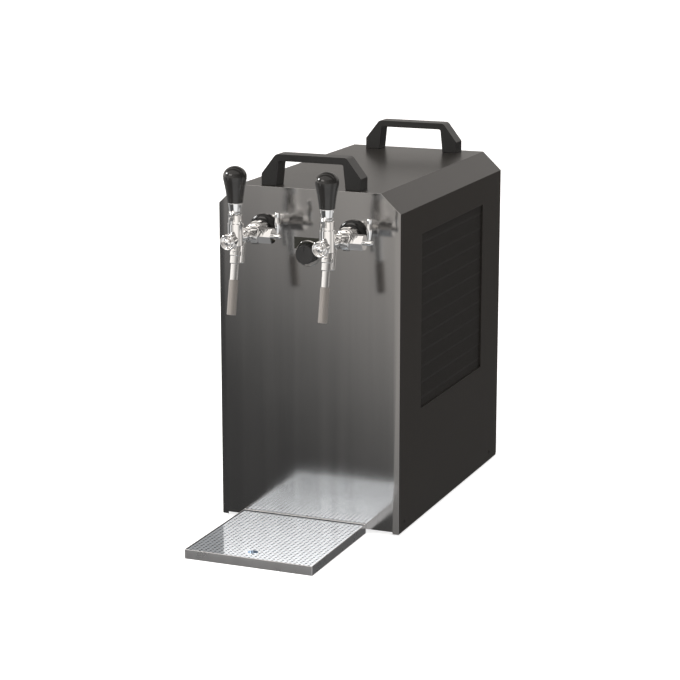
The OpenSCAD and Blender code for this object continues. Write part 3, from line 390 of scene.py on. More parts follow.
def tube(name, profile, bevel=0.0, sides=SIDES_OF_ROUND):
    """A turned piece with a bore: its outline runs round and closes on its first point."""
    return spun(name, [*profile, profile[0]], bevel, sides)


def prism(name, outline, low, high):
    """A slab along X from its outline in millimetres, [forwards, up]."""
    piece = drawn(name, [(low * MM, -out * MM, up * MM) for out, up in outline])
    bpy.ops.mesh.edge_face_add()
    bpy.ops.mesh.extrude_region_move(TRANSFORM_OT_translate={"value": ((high - low) * MM, 0, 0)})
    bpy.ops.mesh.select_all(action="SELECT")
    bpy.ops.mesh.normals_make_consistent(inside=False)
    done()
    return piece


def bar(name, sides, radius, low, high):
    """A prism along +Z in millimetres."""
    clear()
    bpy.ops.mesh.primitive_cylinder_add(
        vertices=sides, radius=radius * MM, depth=(high - low) * MM, location=(0, 0, (high + low) / 2 * MM))
    return settle(named(name))


def block(name, low, high):
    """A box between two corners in millimetres."""
    clear()
    centre = [(a + b) / 2 * MM for a, b in zip(low, high)]
    bpy.ops.mesh.primitive_cube_add(size=1, location=centre, scale=[(b - a) * MM for a, b in zip(low, high)])
    return settle(named(name))


def traced(node, bevel, segments=2):
    """A copy of a CAD node with its triangles merged into flat faces, and softened edges."""
    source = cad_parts[node]
    piece = source.copy()
    piece.data = source.data.copy()
    piece.name = piece.data.name = f"{node}_piece"
    bpy.context.scene.collection.objects.link(piece)
    only(piece)
    edit()
    bpy.ops.mesh.select_all(action="SELECT")
    bpy.ops.mesh.remove_doubles(threshold=TOUCH)
    bpy.ops.mesh.dissolve_limited(angle_limit=math.radians(0.5))
    done()
    return round_edges(piece, bevel, segments, 30)


def repeated(cell, columns, across, rows, up):
    """Repeats a flat cell along X and Y, merges what touches, and centres the sheet on the origin."""
    for count, step in ((columns, (across, 0, 0)), (rows, (0, up, 0))):
        modify(cell, "ARRAY", count=count, use_relative_offset=False, use_constant_offset=True,
               constant_offset_displace=step, use_merge_vertices=True, merge_threshold=TOUCH)
    return put(cell, (-(columns - 1) / 2 * across / MM, -(rows - 1) / 2 * up / MM, 0))


def united(pieces, operation="UNION"):
    """Joins solids into the first of them, or cuts them out of it."""
    first, *others = pieces
    for other in others:
        modify(first, "BOOLEAN", operation=operation, solver="EXACT", object=other)
        bpy.data.objects.remove(other)
    return first


# Outlines

def swept(points, steps):
    """A smooth curve through outline points, as a list of points."""
    out = []
    ends = [points[0], *points, points[-1]]
    for a, b, c, d in zip(ends, ends[1:], ends[2:], ends[3:]):
        for i in range(steps):
            t = i / steps
            out.append([0.5 * (2 * q + (r - p) * t + (2 * p - 5 * q + 4 * r - u) * t * t
                               + (3 * q - p - 3 * r + u) * t ** 3) for p, q, r, u in zip(a, b, c, d)])
    return [*out, list(points[-1])]


def arc(radius, rise, centre, start, end, steps):
    """Points of an ellipse about a centre, [radius, height], from one angle to another in degrees."""
    across, up = centre
    angles = (math.radians(start + (end - start) * i / steps) for i in range(steps + 1))
    return [[across + radius * math.cos(a), up + rise * math.sin(a)] for a in angles]


def crown(radius, rise, base, inset=0.0, steps=12):
    """Points of a quarter ellipse from the rim up to the crown."""
    return arc(radius, rise, (inset, base), 0, 90, steps)


def ball(radius, from_radius, to_radius, from_below=False, steps=16):
    """Points on a ball about the lever's pivot, from one radius of its section up to another."""
    start, end = (math.degrees(math.acos(r / radius)) for r in (from_radius, to_radius))
    return arc(radius, radius, (0, PIVOT_RISE), -start if from_below else start, end, steps)


# Placing pieces

def finish_piece(piece, finish, body, node):
    """Shades a piece, gives it its finish, and lets it ride and stand for its CAD node."""
    only(piece)
    bpy.ops.object.shade_smooth_by_angle(angle=math.radians(SMOOTH_ANGLE))
    modify(piece, "WEIGHTED_NORMAL", keep_sharp=True)
    piece.data.materials.clear()
    piece.data.materials.append(finish)
    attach(piece, body)
    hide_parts(node)


def both_taps(make, stem, finish, body="cabinet"):
    """Makes one piece about the tap's own axis and sets a copy at each tap."""
    model = make()
    copy = model.copy()
    copy.data = model.data.copy()
    bpy.context.collection.objects.link(copy)
    for side, piece in zip(SIDES, (copy, model)):
        piece.name = piece.data.name = f"{stem}_{side}_piece"
        put(piece, (TAP_X[side] / MM, PANEL_Y / MM, TAP_Z / MM))
        rides = body if body == "cabinet" else f"{body}_{side}"
        finish_piece(piece, finish, rides, f"{stem}_{side}")


# Settings

class StageSettings(bpy.types.PropertyGroup):
    azimuth: bpy.props.FloatProperty(
        name="Azimuth", description="Direction of the camera to the right of the front",
        default=math.radians(22.22), subtype="ANGLE")
    elevation: bpy.props.FloatProperty(
        name="Elevation", description="Height of the camera over the horizon",
        default=math.radians(13.18), subtype="ANGLE")
    camera_place: bpy.props.FloatVectorProperty(
        name="Camera place", description="Where the camera stands", size=3,
        default=(1.24913, -3.07633, 1.04654), subtype="TRANSLATION")
    lens: bpy.props.FloatProperty(
        name="Lens", description="Focal length of the camera in millimetres", default=112.25, min=20, max=300)
    floor_tone: bpy.props.FloatVectorProperty(
        name="Floor tone", description="Colour of the floor", size=3, default=grey(0.9), min=0, max=1,
        subtype="COLOR")
    lamp_place: bpy.props.FloatVectorProperty(
        name="Lamp place", description="Where the lamp stands", size=3, default=(-2.35, -0.72, 1.72),
        subtype="TRANSLATION")
    lamp_width: bpy.props.FloatProperty(
        name="Lamp width", description="Width of the square lamp", default=0.5, min=0.01, unit="LENGTH")
    lamp_power: bpy.props.FloatProperty(
        name="Lamp power", description="Power of the lamp", default=40, min=0, unit="POWER")


class CaseSettings(bpy.types.PropertyGroup):
    paint: bpy.props.FloatVectorProperty(
        name="Case paint", description="Colour of the folded cover", size=3, default=(0.017, 0.0144, 0.0122),
        min=0, max=1, subtype="COLOR")
    panel: bpy.props.FloatVectorProperty(
        name="Front panel", description="Colour of the brushed front panel", size=3,
        default=(0.385, 0.38, 0.375), min=0, max=1, subtype="COLOR")
    panel_rough: bpy.props.FloatProperty(
        name="Panel roughness", description="How far the front panel blurs what it mirrors", default=0.12,
        min=0, max=1)
    handle_edge: bpy.props.FloatProperty(
        name="Handle edge", description="Radius of the handles' edges", default=0.0012, min=0, unit="LENGTH")


class TapSettings(bpy.types.PropertyGroup):
    chrome: bpy.props.FloatVectorProperty(
        name="Chrome", description="Colour of the plated tap", size=3, default=(0.86, 0.855, 0.85), min=0,
        max=1, subtype="COLOR")
    knob: bpy.props.FloatVectorProperty(
        name="Knob", description="Colour of the lever knobs", size=3, default=(0.018, 0.0172, 0.0165), min=0,
        max=1, subtype="COLOR")


class TraySettings(bpy.types.PropertyGroup):
    tray_steel: bpy.props.FloatVectorProperty(
        name="Tray steel", description="Colour of the folded tray", size=3, default=(0.76, 0.76, 0.77), min=0,
        max=1, subtype="COLOR")
    grid_steel: bpy.props.FloatVectorProperty(
        name="Grid steel", description="Colour of the perforated grid", size=3, default=(0.73, 0.80, 0.88),
        min=0, max=1, subtype="COLOR")
    hole_pitch: bpy.props.FloatProperty(
        name="Hole pitch", description="Distance between neighbouring holes of the grid", default=0.0074,
        min=0.005, unit="LENGTH")
    hole_width: bpy.props.FloatProperty(
        name="Hole width", description="Diameter of a hole of the grid", default=0.0036, min=0.002,
        unit="LENGTH")
    finger_width: bpy.props.FloatProperty(
        name="Finger hole", description="Diameter of the finger hole", default=0.016, min=0.01, unit="LENGTH")


SETTINGS = {"dispenser_stage": StageSettings, "dispenser_case": CaseSettings, "dispenser_taps": TapSettings,
            "dispenser_tray": TraySettings}


class Step(bpy.types.Operator):
    """One step of the dispenser."""
    bl_options = {"REGISTER", "UNDO"}

    def execute(self, context):
        self.make(context.scene)
        return {"FINISHED"}


class DISPENSER_OT_stage(Step):
    """Sets the camera, the floor, the backdrop and the light"""
    bl_idname = "dispenser.stage"
    bl_label = "Stage"
    film = 36
    far = 100
    floor_reach = 14
    backdrop_reach = 13.5
    lamp_aim = Vector((0, -0.1, 0.35))
    warm = (1.0, 0.955, 0.91)

    def make(self, scene):
        s = scene.dispenser_stage
        scene.view_settings.view_transform = "Standard"
        self.camera(scene, s)
        self.floor(s)
        self.backdrop()
        self.light(scene)
        self.lamp(scene, s)

    def camera(self, scene, s):
        camera = bpy.data.objects.new("camera", bpy.data.cameras.new("camera"))
        camera.data.lens = s.lens
        camera.data.sensor_width = self.film
        camera.data.clip_end = self.far
        level = math.cos(s.elevation)
        back = Vector((math.sin(s.azimuth) * level, -math.cos(s.azimuth) * level, math.sin(s.elevation)))
        camera.location = s.camera_place
        camera.rotation_euler = (-back).to_track_quat("-Z", "Y").to_euler()
        scene.collection.objects.link(camera)
        scene.camera = camera

    def floor(self, s):
        clear()
        bpy.ops.mesh.primitive_circle_add(vertices=96, radius=self.floor_reach, fill_type="NGON")
        floor = named("floor")
        f = material("pale_floor")
        f.set(Base_Color=s.floor_tone, Roughness=0.9, Emission_Color=WHITE, Emission_Strength=0.75)
        floor.data.materials.append(f.owner)
        floor.visible_glossy = False

    def backdrop(self):
        clear()
        bpy.ops.mesh.primitive_uv_sphere_add(segments=48, ring_count=24, radius=self.backdrop_reach)
        dome = named("backdrop")
        f = material("backdrop_white")
        f.set(Base_Color=grey(0), Emission_Color=WHITE, Emission_Strength=1.0)
        dome.data.materials.append(f.owner)
        dome.visible_glossy = dome.visible_diffuse = dome.visible_shadow = False
        dome.visible_transmission = dome.visible_volume_scatter = False

    def light(self, scene):
        """Draws the studio on the world: bright and dark walls, by their direction from the dispenser.

        Here x, y and z are the direction's parts, turn is its angle in degrees from the front to the right,
        and left is the same angle to the left.
        """
        scene.world = scene.world or bpy.data.worlds.new("studio")
        f = Finish(scene.world, "ShaderNodeBackground")
        way = f.node("ShaderNodeTexCoord").outputs["Generated"]
        split = f.node("ShaderNodeSeparateXYZ", None, {0: way})
        x, y, z = (Value(f, split.outputs[i]) for i in range(3))
        across = x / (x * x + y * y + 0.0001) ** 0.5
        turn = f.math("ARCTAN2", x, 0 - y) * math.degrees(1)
        left = 0 - turn
        lit = self.over_edge(across, z)
        side = blend(turn.ramp(-11, 2), self.left_wall(left, across, z, lit), self.right_wall(turn, z))
        side = blend(left.ramp(112, 145) + turn.ramp(122, 150), side, self.rear_wall(x, z))
        light = blend(z.ramp(0.55, 0.7), side, self.ceiling(y))
        light = blend((0 - z).ramp(0.5, 0.7), light, 0.25)
        f.set(Color=f.mix(lit, WHITE, self.warm), Strength=light)

    @staticmethod
    def over_edge(across, z):
        """1 over the lower edge of the lit wall, which is highest on the left and dips in the middle."""
        height = z + across.ramp(-0.56, -0.22) * 0.2 - across.ramp(-0.15, 0.05) * 0.07 - 0.1
        return height.ramp(-0.285, -0.125)

    @staticmethod
    def left_wall(left, across, z, lit):
        """The front and the left: a bright band round the horizon, a low soft box and a high window."""
        band = 0.085 + lit * 0.6 + z.ramp(-0.1, -0.02) * 0.5 - z.ramp(0.14, 0.2)
        soft_box = left.band(36, 40, 48, 60) * z.band(-0.36, -0.28, -0.14, -0.06) * 0.95
        window = across.band(-0.75, -0.6, -0.25, -0.1) * z.band(0.29, 0.34, 0.5, 0.65) * 5.0
        return band + soft_box + window + left.ramp(60, 95) * 0.35

    @staticmethod
    def right_wall(turn, z):
        """The right: bright next to the front and darker farther round, with its own tones low down."""
        low = 1.1 - turn.ramp(48, 75) * 0.6 + turn.ramp(80, 98) * 0.4 - turn.ramp(105, 145) * 0.75
        high = 1.0 - turn.ramp(-5, 30) * 0.5 - turn.ramp(30, 60) * 0.25 - turn.ramp(60, 90) * 0.1
        return blend((0 - z).ramp(0.08, 0.14), high, low)

    @staticmethod
    def rear_wall(x, z):
        """Behind: dark low down, brighter higher up, and dimmer again high on the left."""
        return 0.11 + 0.68 * z.ramp(-0.1, 0.25) - (0 - x).ramp(0.2, 0.35) * z.ramp(0.26, 0.32) * 0.4

    @staticmethod
    def ceiling(y):
        """Overhead: dim, with a strip over the rear and a soft box over the front."""
        return 0.12 + y.band(0.2, 0.26, 0.4, 0.5) * 0.75 + (0 - y).ramp(0, 0.15)

    def lamp(self, scene, s):
        lamp = bpy.data.objects.new("key", bpy.data.lights.new("key", "AREA"))
        lamp.data.size = s.lamp_width
        lamp.data.energy = s.lamp_power
        lamp.location = s.lamp_place
        lamp.rotation_euler = (self.lamp_aim - Vector(s.lamp_place)).to_track_quat("-Z", "Y").to_euler()
        scene.collection.objects.link(lamp)


class DISPENSER_OT_case(Step):
    """Makes the folded cover, the front panel and the side grilles, and finishes the rest of the case"""
    bl_idname = "dispenser.case"
    bl_label = "Case"
    slot_pitch = 0.004
    slot_width = 0.0009
    slot_rows = 12

    def make(self, scene):
        s = scene.dispenser_case
        coat = paint("case_paint", s.paint, 0.3)
        finish_piece(traced("case_cover", 0.6), coat, "cabinet", "case_cover")
        dress(coat, "rear_panel")
        steel = brushed("front_steel", s.panel, s.panel_rough, (1, 1, 0.02))
        finish_piece(traced("front_panel", 1.2, 3), steel, "cabinet", "front_panel")
        dress(brushed("base_zinc", grey(0.45), 0.4), "base_pan")
        # The grilles get the case paint darkened to 0.6 times: painted shade of the recessed side windows.
        dark = paint("grille_paint_painted_shade", shade(s.paint, 0.6), 0.5)
        for side in SIDES:
            self.grille(f"side_grille_{side}", dark)
        dress(rubber("foot_rubber", grey(0.02)), "feet")
        dress(paint("screw_paint", (0.015, 0.014, 0.013), 0.35), "cover_screws")
        dress(brushed("screw_zinc", grey(0.6), 0.3), "handle_screws")

    def grille(self, node, finish):
        """A sheet with rows of short narrow slots."""
        size, centre = extent(node), middle(node)
        columns = int(size.y / self.slot_pitch)
        height = size.z / self.slot_rows
        clear()
        bpy.ops.mesh.primitive_plane_add(size=1)
        sheet = named(f"{node}_piece")
        edit()
        bpy.ops.mesh.select_all(action="SELECT")
        bpy.ops.transform.resize(value=(self.slot_pitch, height, 1))
        bpy.ops.mesh.inset(thickness=(self.slot_pitch - self.slot_width) / 2)
        bpy.ops.mesh.delete(type="FACE")
        done()
        repeated(sheet, columns, self.slot_pitch, self.slot_rows, height)
        sheet.scale = (size.y / (columns * self.slot_pitch), 1, 1)
        settle(sheet)
        modify(sheet, "SOLIDIFY", thickness=size.x, offset=0)
        put(sheet, turn=(90, 0, 90))
        put(sheet, tuple(centre / MM))
        finish_piece(sheet, finish, "cabinet", node)


class DISPENSER_OT_handles(Step):
    """Rounds and finishes the carry handles"""
    bl_idname = "dispenser.handles"
    bl_label = "Handles"

    def make(self, scene):
        moulded = plastic("handle_plastic", (0.008, 0.008, 0.0078), 0.35)
        for name in ("front_handle", "rear_handle"):
            handle = traced(name, scene.dispenser_case.handle_edge / MM, 3)
            finish_piece(handle, moulded, "cabinet", name)


class DISPENSER_OT_tray(Step):
    """Makes the folded drip tray and its perforated grid, which stops short of the tray's rear wall"""
    bl_idname = "dispenser.tray"
    bl_label = "Drip tray"
    trough = 0.004
    finger_place = Vector((-0.013, -0.331))
    web = 0.0012

    def make(self, scene):
        s = scene.dispenser_tray
        folded = brushed("tray_steel", s.tray_steel, 0.28)
        finish_piece(traced("drip_tray", 0.55), folded, "tray", "drip_tray")
        grid = self.perforated(s.hole_pitch, s.hole_width / 2, s.finger_width / 2)
        finish_piece(grid, brushed("grid_steel", s.grid_steel, 0.1), "grid", "tray_grid")

    def perforated(self, pitch, hole, finger):
        size, centre = extent("tray_grid"), middle("tray_grid")
        columns, rows = (int((length - pitch / 2) / pitch) for length in size.xy)
        grid = repeated(self.cell(pitch, hole), columns, pitch, rows, pitch)
        size.y -= self.trough
        centre.y -= self.trough / 2
        spot = self.finger_place - centre.xy
        self.close_holes(grid, spot, pitch, hole, finger, columns, rows)
        self.edge(grid, columns * pitch, rows * pitch, size)
        modify(grid, "SOLIDIFY", thickness=size.z, offset=-1, use_even_offset=True)
        cutter = bar("finger_hole", 48, finger / MM, -5, 5)
        united([grid, put(cutter, (spot.x / MM, spot.y / MM, 0))], "DIFFERENCE")
        return put(grid, (centre.x / MM, centre.y / MM, GRID_TOP / MM))

    def cell(self, pitch, hole):
        """One square of the sheet round one hole."""
        clear()
        bpy.ops.mesh.primitive_plane_add(size=pitch)
        cell = named("tray_grid_piece")
        edit()
        bpy.ops.mesh.select_all(action="SELECT")
        bpy.ops.mesh.delete(type="ONLY_FACE")
        bpy.ops.mesh.select_all(action="SELECT")
        bpy.ops.mesh.subdivide(number_cuts=2)
        bpy.ops.mesh.primitive_circle_add(vertices=12, radius=hole, rotation=(0, 0, math.radians(15)))
        bpy.ops.mesh.select_all(action="SELECT")
        bpy.ops.mesh.bridge_edge_loops()
        bpy.ops.mesh.select_all(action="SELECT")
        bpy.ops.mesh.normals_make_consistent(inside=False)
        done()
        if cell.data.polygons[0].normal.z < 0:
            edit()
            bpy.ops.mesh.flip_normals()
            done()
        return cell

    def close_holes(self, grid, spot, pitch, hole, finger, columns, rows):
        """Fills the holes that are nearer to the finger hole than the web between them."""
        for i in range(columns):
            for k in range(rows):
                at = Vector(((i - (columns - 1) / 2) * pitch, (k - (rows - 1) / 2) * pitch))
                if (at - spot).length < finger + hole + self.web:
                    self.choose(grid, lambda p: (p.xy - at).length < hole * 1.1)
                    edit()
                    bpy.ops.mesh.edge_face_add()
                    done()

    def edge(self, grid, width, depth, size):
        """Draws the sheet's rim out to the size of the plate."""
        self.choose(grid, lambda p: abs(abs(p.x) - width / 2) < TOUCH or abs(abs(p.y) - depth / 2) < TOUCH)
        edit()
        bpy.ops.mesh.extrude_edges_move()
        bpy.ops.transform.resize(value=(size.x / width, size.y / depth, 1))
        done()

    @staticmethod
    def choose(piece, test):
        """Selects a piece's points by their place."""
        only(piece)
        edit()
        bpy.ops.mesh.select_mode(type="VERT")
        bpy.ops.mesh.select_all(action="DESELECT")
        done()
        for point in piece.data.vertices:
            point.select = test(point.co)


class DISPENSER_OT_taps(Step):
    """Makes the taps' fixed pieces: rosettes, nuts, bodies, bonnets and caps"""
    bl_idname = "dispenser.taps"
    bl_label = "Taps"
    tail_reach = 23.6
    stem_reach = 21.6

    def make(self, scene):
        plated = chrome("tap_chrome", scene.dispenser_taps.chrome)
        moulded = plastic("rosette_black", (0.011, 0.011, 0.0108), 0.2, gloss=0.3)
        both_taps(self.rosette, "rosette", moulded)
        both_taps(self.coupling_nut, "coupling_nut", plated)
        both_taps(self.body, "tap_body", plated)
        both_taps(self.bonnet, "bonnet", plated)
        both_taps(self.front_cap, "front_cap", plated)
        steel = brushed("shank_steel", (0.6, 0.6, 0.58), 0.25)
        brass = brushed("piston_brass", (0.7, 0.5, 0.25), 0.25)
        for side in SIDES:
            dress(steel, f"shank_{side}", f"shank_nut_{side}")
            dress(brass, f"valve_piston_{side}")

    def rosette(self):
        """The moulded ring on the panel: a plain edge, then a quarter ellipse up to its crest."""
        rim, edge, crest, top = 23, 3, 12, 9
        dome = crown(rim - crest, top - edge, edge, crest)
        outline = [[SHANK_ROOM, 0], [rim, 0], [rim, edge], *dome[1:], [SHANK_ROOM, top]]
        return put(tube("rosette", outline, 0.4), turn=FORWARDS)

    def coupling_nut(self):
        """A domed nut with a room for the barrel's flange and four slots for its spanner."""
        wall, bevel, rear, shoulder, dome = 16, 0.8, 11, 29.8, 9
        mouth, flange_room, flange_rear, flange_front = 8.8, 10.3, 24, 28.1
        outline = [[wall - bevel, rear], [wall, rear + bevel], *crown(wall - mouth, dome, shoulder, mouth),
                   [mouth, flange_front], [flange_room, flange_front], [flange_room, flange_rear],
                   [SHANK_ROOM, flange_rear], [SHANK_ROOM, rear]]
        nut = tube("coupling_nut", outline, sides=SIDES_OF_FINE_ROUND)
        slot_floor, half_slot, slot_rear, slot_front = 14.4, 2, 15, 19
        for angle in (45, 135, 225, 315):
            slot = block("slot", (slot_floor, -half_slot, slot_rear), (wall + 2, half_slot, slot_front))
            united([nut, put(slot, turn=(0, 0, angle))], "DIFFERENCE")
        return put(round_edges(nut, 0.3), turn=FORWARDS)

    def body(self):
        """The body in one piece: what stands on it is joined, and what passes through it is cut."""
        neck, neck_end, boss, boss_end = 7.5, 18, 4.6, 12
        bore, well, seat, spindle_room, through = 5, 5.8, BONNET_PLUG + 0.1, SPINDLE + 0.08, 2
        spout_neck = self.along_spout(bar("neck", 64, neck, 0, neck_end), SPOUT_REACH)
        foam_boss = self.along_spout(bar("boss", 48, boss, 0, boss_end), FOAM_REACH)
        body = united([self.barrel(), self.housing(), *self.compensator(), spout_neck, foam_boss])
        cuts = [
            put(bar("bore", 48, bore, 20, 130), turn=FORWARDS),
            self.over_valve(bar("well", 48, well, 0, 30)),
            self.over_valve(bar("seat", 64, seat, PIVOT_RISE, 30)),
            self.swing(TAIL_PIN + GAP, self.tail_reach, -1),
            self.swing(STEM + GAP, self.stem_reach, 1),
            put(bar("spindle", 48, spindle_room, 0, 50), (0, -FLOW_REACH, FLOW_RISE), RIGHTWARDS),
            self.along_spout(bar("beer_way", 32, BEER_WAY, 0, neck_end + through), SPOUT_REACH),
            self.along_spout(bar("foam_way", 24, FOAM_WAY, 0, boss_end + through), FOAM_REACH),
        ]
        return round_edges(united([body, *cuts], "DIFFERENCE"), 0.35, angle=28)

    def barrel(self):
        """The barrel, with its rear flange and the swell round the compensator."""
        flange, flange_rear, flange_front, swell = 10, 24.3, 27.8, 11
        rise = swept([[BARREL, -12], [9.1, -10], [10.4, -7.4], [swell, -5]], 3)
        bulge = [[r, FLOW_REACH + h] for r, h in [*rise, *([r, -h] for r, h in reversed(rise))]]
        outline = [[0, flange_rear], [flange, flange_rear], [flange, flange_front], [BARREL, flange_front],
                   *bulge, [BARREL, NOSE_REACH], [0, NOSE_REACH]]
        return put(spun("tap_body", outline, sides=SIDES_OF_FINE_ROUND), turn=FORWARDS)

    def housing(self):
        """The upright valve housing, up to the bonnet's seat."""
        wall, bevel, foot, brim, ledge = 12, 0.8, -9, 24.9, 25.4
        inner = wall - bevel
        outline = [[0, foot], [inner, foot], [wall, foot + bevel], [wall, brim - bevel], [inner, brim],
                   [inner, ledge], [BONNET, ledge], [BONNET, BONNET_SEAT], [0, BONNET_SEAT]]
        return self.over_valve(spun("housing", outline, sides=SIDES_OF_FINE_ROUND))

    def compensator(self):
        """The compensator's housing, with its ring and its hexagon."""
        wall, ring, bevel, ring_left, ring_right = 11, 14, 1.6, 9, 22
        corners, hexagon_right = 12.7, 43
        collar = spun("collar", [[0, 0], [wall, 0], [wall, ring_left], [ring - bevel, ring_left],
                                 [ring, ring_left + bevel], [ring, ring_right - bevel],
                                 [ring - bevel, ring_right], [0, ring_right]], sides=SIDES_OF_FINE_ROUND)
        hexagon = bar("hexagon", 6, corners, ring_right, hexagon_right)
        slope = [[0, 20], [22, 20], [22, 33.5], [wall, 43.4], [0, 43.4]]
        cone = spun("cone", slope, sides=SIDES_OF_FINE_ROUND)
        return [put(piece, (0, -FLOW_REACH, FLOW_RISE), RIGHTWARDS)
                for piece in (collar, united([hexagon, cone], "INTERSECT"))]

    def bonnet(self):
        """The domed cover, hollow round the lever's ball."""
        edge, dome_foot = 37.1, 10.2
        outline = [[0, PIVOT_RISE], [BONNET_PLUG, PIVOT_RISE], [BONNET_PLUG, BONNET_SEAT],
                   [BONNET, BONNET_SEAT], [BONNET, edge], *ball(DOME, dome_foot, 0)]
        bonnet = self.over_valve(spun("bonnet", outline, sides=SIDES_OF_FINE_ROUND))
        hollow = self.over_valve(spun("hollow", ball(PIVOT_BALL + GAP, 0, 0, True, 24), sides=64))
        united([bonnet, hollow, self.swing(STEM + GAP, self.stem_reach, 1)], "DIFFERENCE")
        return round_edges(bonnet, 0.25)

    def front_cap(self):
        """The barrel's cap: a round rim, a deep recess, and a hub with a rib across it."""
        plug, plug_end, wall, bevel, rim, rim_reach = 4.9, 120.4, 12, 0.8, 1.15, 131.85
        hub, floor = 5.4, 127
        outline = [[0, plug_end], [plug, plug_end], [plug, NOSE_REACH], [wall - bevel, NOSE_REACH],
                   [wall, NOSE_REACH + bevel], *arc(rim, rim, (wall - rim, rim_reach), 0, 180, 12),
                   [wall - 2 * rim, floor], [hub, floor], *crown(hub, 2.8, 131.5)]
        cap = put(spun("front_cap", outline, sides=SIDES_OF_FINE_ROUND), turn=FORWARDS)
        half_rib, rib_reach, rib_root, rib_end = 0.8, 132.2, 129, 9.9
        rib = block("rib", (-half_rib, -rib_reach, -rib_end), (half_rib, -rib_root, rib_end))
        return round_edges(united([cap, rib]), 0.3)

    def swing(self, half, reach, way):
        """What a pin of this half width sweeps about the lever's pivot, upwards or downwards."""
        fore, back = math.radians(TILT_FORWARDS), math.radians(TILT_BACK)
        far = (reach + half) / math.cos((fore + back) / 2)
        front = (math.cos(fore) * half, -math.sin(fore) * half)
        rear = (-math.cos(back) * half, -math.sin(back) * half)
        outline = [front, (front[0] + math.sin(fore) * far, front[1] + math.cos(fore) * far),
                   (rear[0] - math.sin(back) * far, rear[1] + math.cos(back) * far), rear]
        return prism("swing", [(VALVE_REACH + way * out, PIVOT_RISE + way * up) for out, up in outline],
                     -half, half)

    @staticmethod
    def over_valve(piece):
        return put(piece, (0, -VALVE_REACH, 0))

    @staticmethod
    def along_spout(piece, root):
        return put(piece, (0, -root, 0), (180 - SPOUT_TILT, 0, 0))


class DISPENSER_OT_levers(Step):
    """Makes the tap levers, their knobs and the compensator levers"""
    bl_idname = "dispenser.levers"
    bl_label = "Levers"

    def make(self, scene):
        plated = bpy.data.materials["tap_chrome"]
        glossy = plastic("knob_gloss", scene.dispenser_taps.knob, 0.16, 0.02)
        both_taps(self.lever, "tap_lever", plated, "lever")
        both_taps(self.knob, "lever_knob", glossy, "lever")
        both_taps(self.flow_lever, "compensator_lever", plated, "flow_lever")

    def lever(self):
        """The tail pin, the pivot ball, the neck with its bead, the flared shoulder and the stud."""
        tail_end, neck, bead, bead_rise, half_bead, shoulder, rim = -2, 9.3, 10, 41.45, 1.6, 10.9, 1.6
        outline = [
            [0, tail_end], [TAIL_PIN, tail_end], *ball(PIVOT_BALL, TAIL_PIN, STEM, True),
            *ball(DOME + GAP, STEM, neck, steps=6), [neck, bead_rise - half_bead], [bead, bead_rise],
            [neck, bead_rise + half_bead], [shoulder, KNOB_SEAT - rim], [shoulder, KNOB_SEAT],
            [STUD, KNOB_SEAT], [STUD, STUD_TOP], [0, STUD_TOP]]
        return DISPENSER_OT_taps.over_valve(spun("tap_lever", outline, 0.25, SIDES_OF_FINE_ROUND))

    def knob(self):
        """A pear-shaped knob, drawn as shares of its length and of what it widens by."""
        foot, waist, widest, length, belly, room = 10.7, 11.5, 17.75, 55, 0.72, 0.1
        shares = ((0, 0), (0.08, 0.03), (0.14, 0.1), (0.25, 0.2), (0.46, 0.36), (0.78, 0.54), (0.95, 0.64),
                  (1, belly))
        side = swept([[waist + (widest - waist) * out, KNOB_SEAT + length * up] for out, up in shares], 4)
        top = crown(widest, length * (1 - belly), KNOB_SEAT + length * belly, steps=16)
        outline = [[0, STUD_TOP + GAP], [STUD + room, STUD_TOP + GAP], [STUD + room, KNOB_SEAT],
                   [foot, KNOB_SEAT], *side[1:], *top[1:]]
        return DISPENSER_OT_taps.over_valve(spun("lever_knob", outline, 0.3, SIDES_OF_FINE_ROUND))

    def flow_lever(self):
        """The compensator's spindle with its round end, and the baluster lever that stands on it."""
        end, end_left, end_right, root = 4, 43.3, 53, 50.5
        pin = spun("compensator_lever", [[0, 4], [SPINDLE, 4], [SPINDLE, end_left], [end, end_left],
                                         [end, end_right], *crown(end, end, end_right)[1:]], sides=64)
        foot, belly, neck, bead, top = 2.6, 4.2, 3.1, 3.9, 36
        shaft = swept([[foot, 4], [foot, 7.2], [belly, 16.2], [belly, 22.3], [neck, 29.5]], 5)
        outline = [[0, 0], [foot, 0], *shaft, [bead, 32.4], [bead, 34.6], [neck, top], [0, top]]
        rod = spun("rod", outline, sides=64)
        lever = united([put(pin, turn=RIGHTWARDS), put(rod, (root, 0, 0))])
        return put(round_edges(lever, 0.25), (0, -FLOW_REACH, FLOW_RISE))


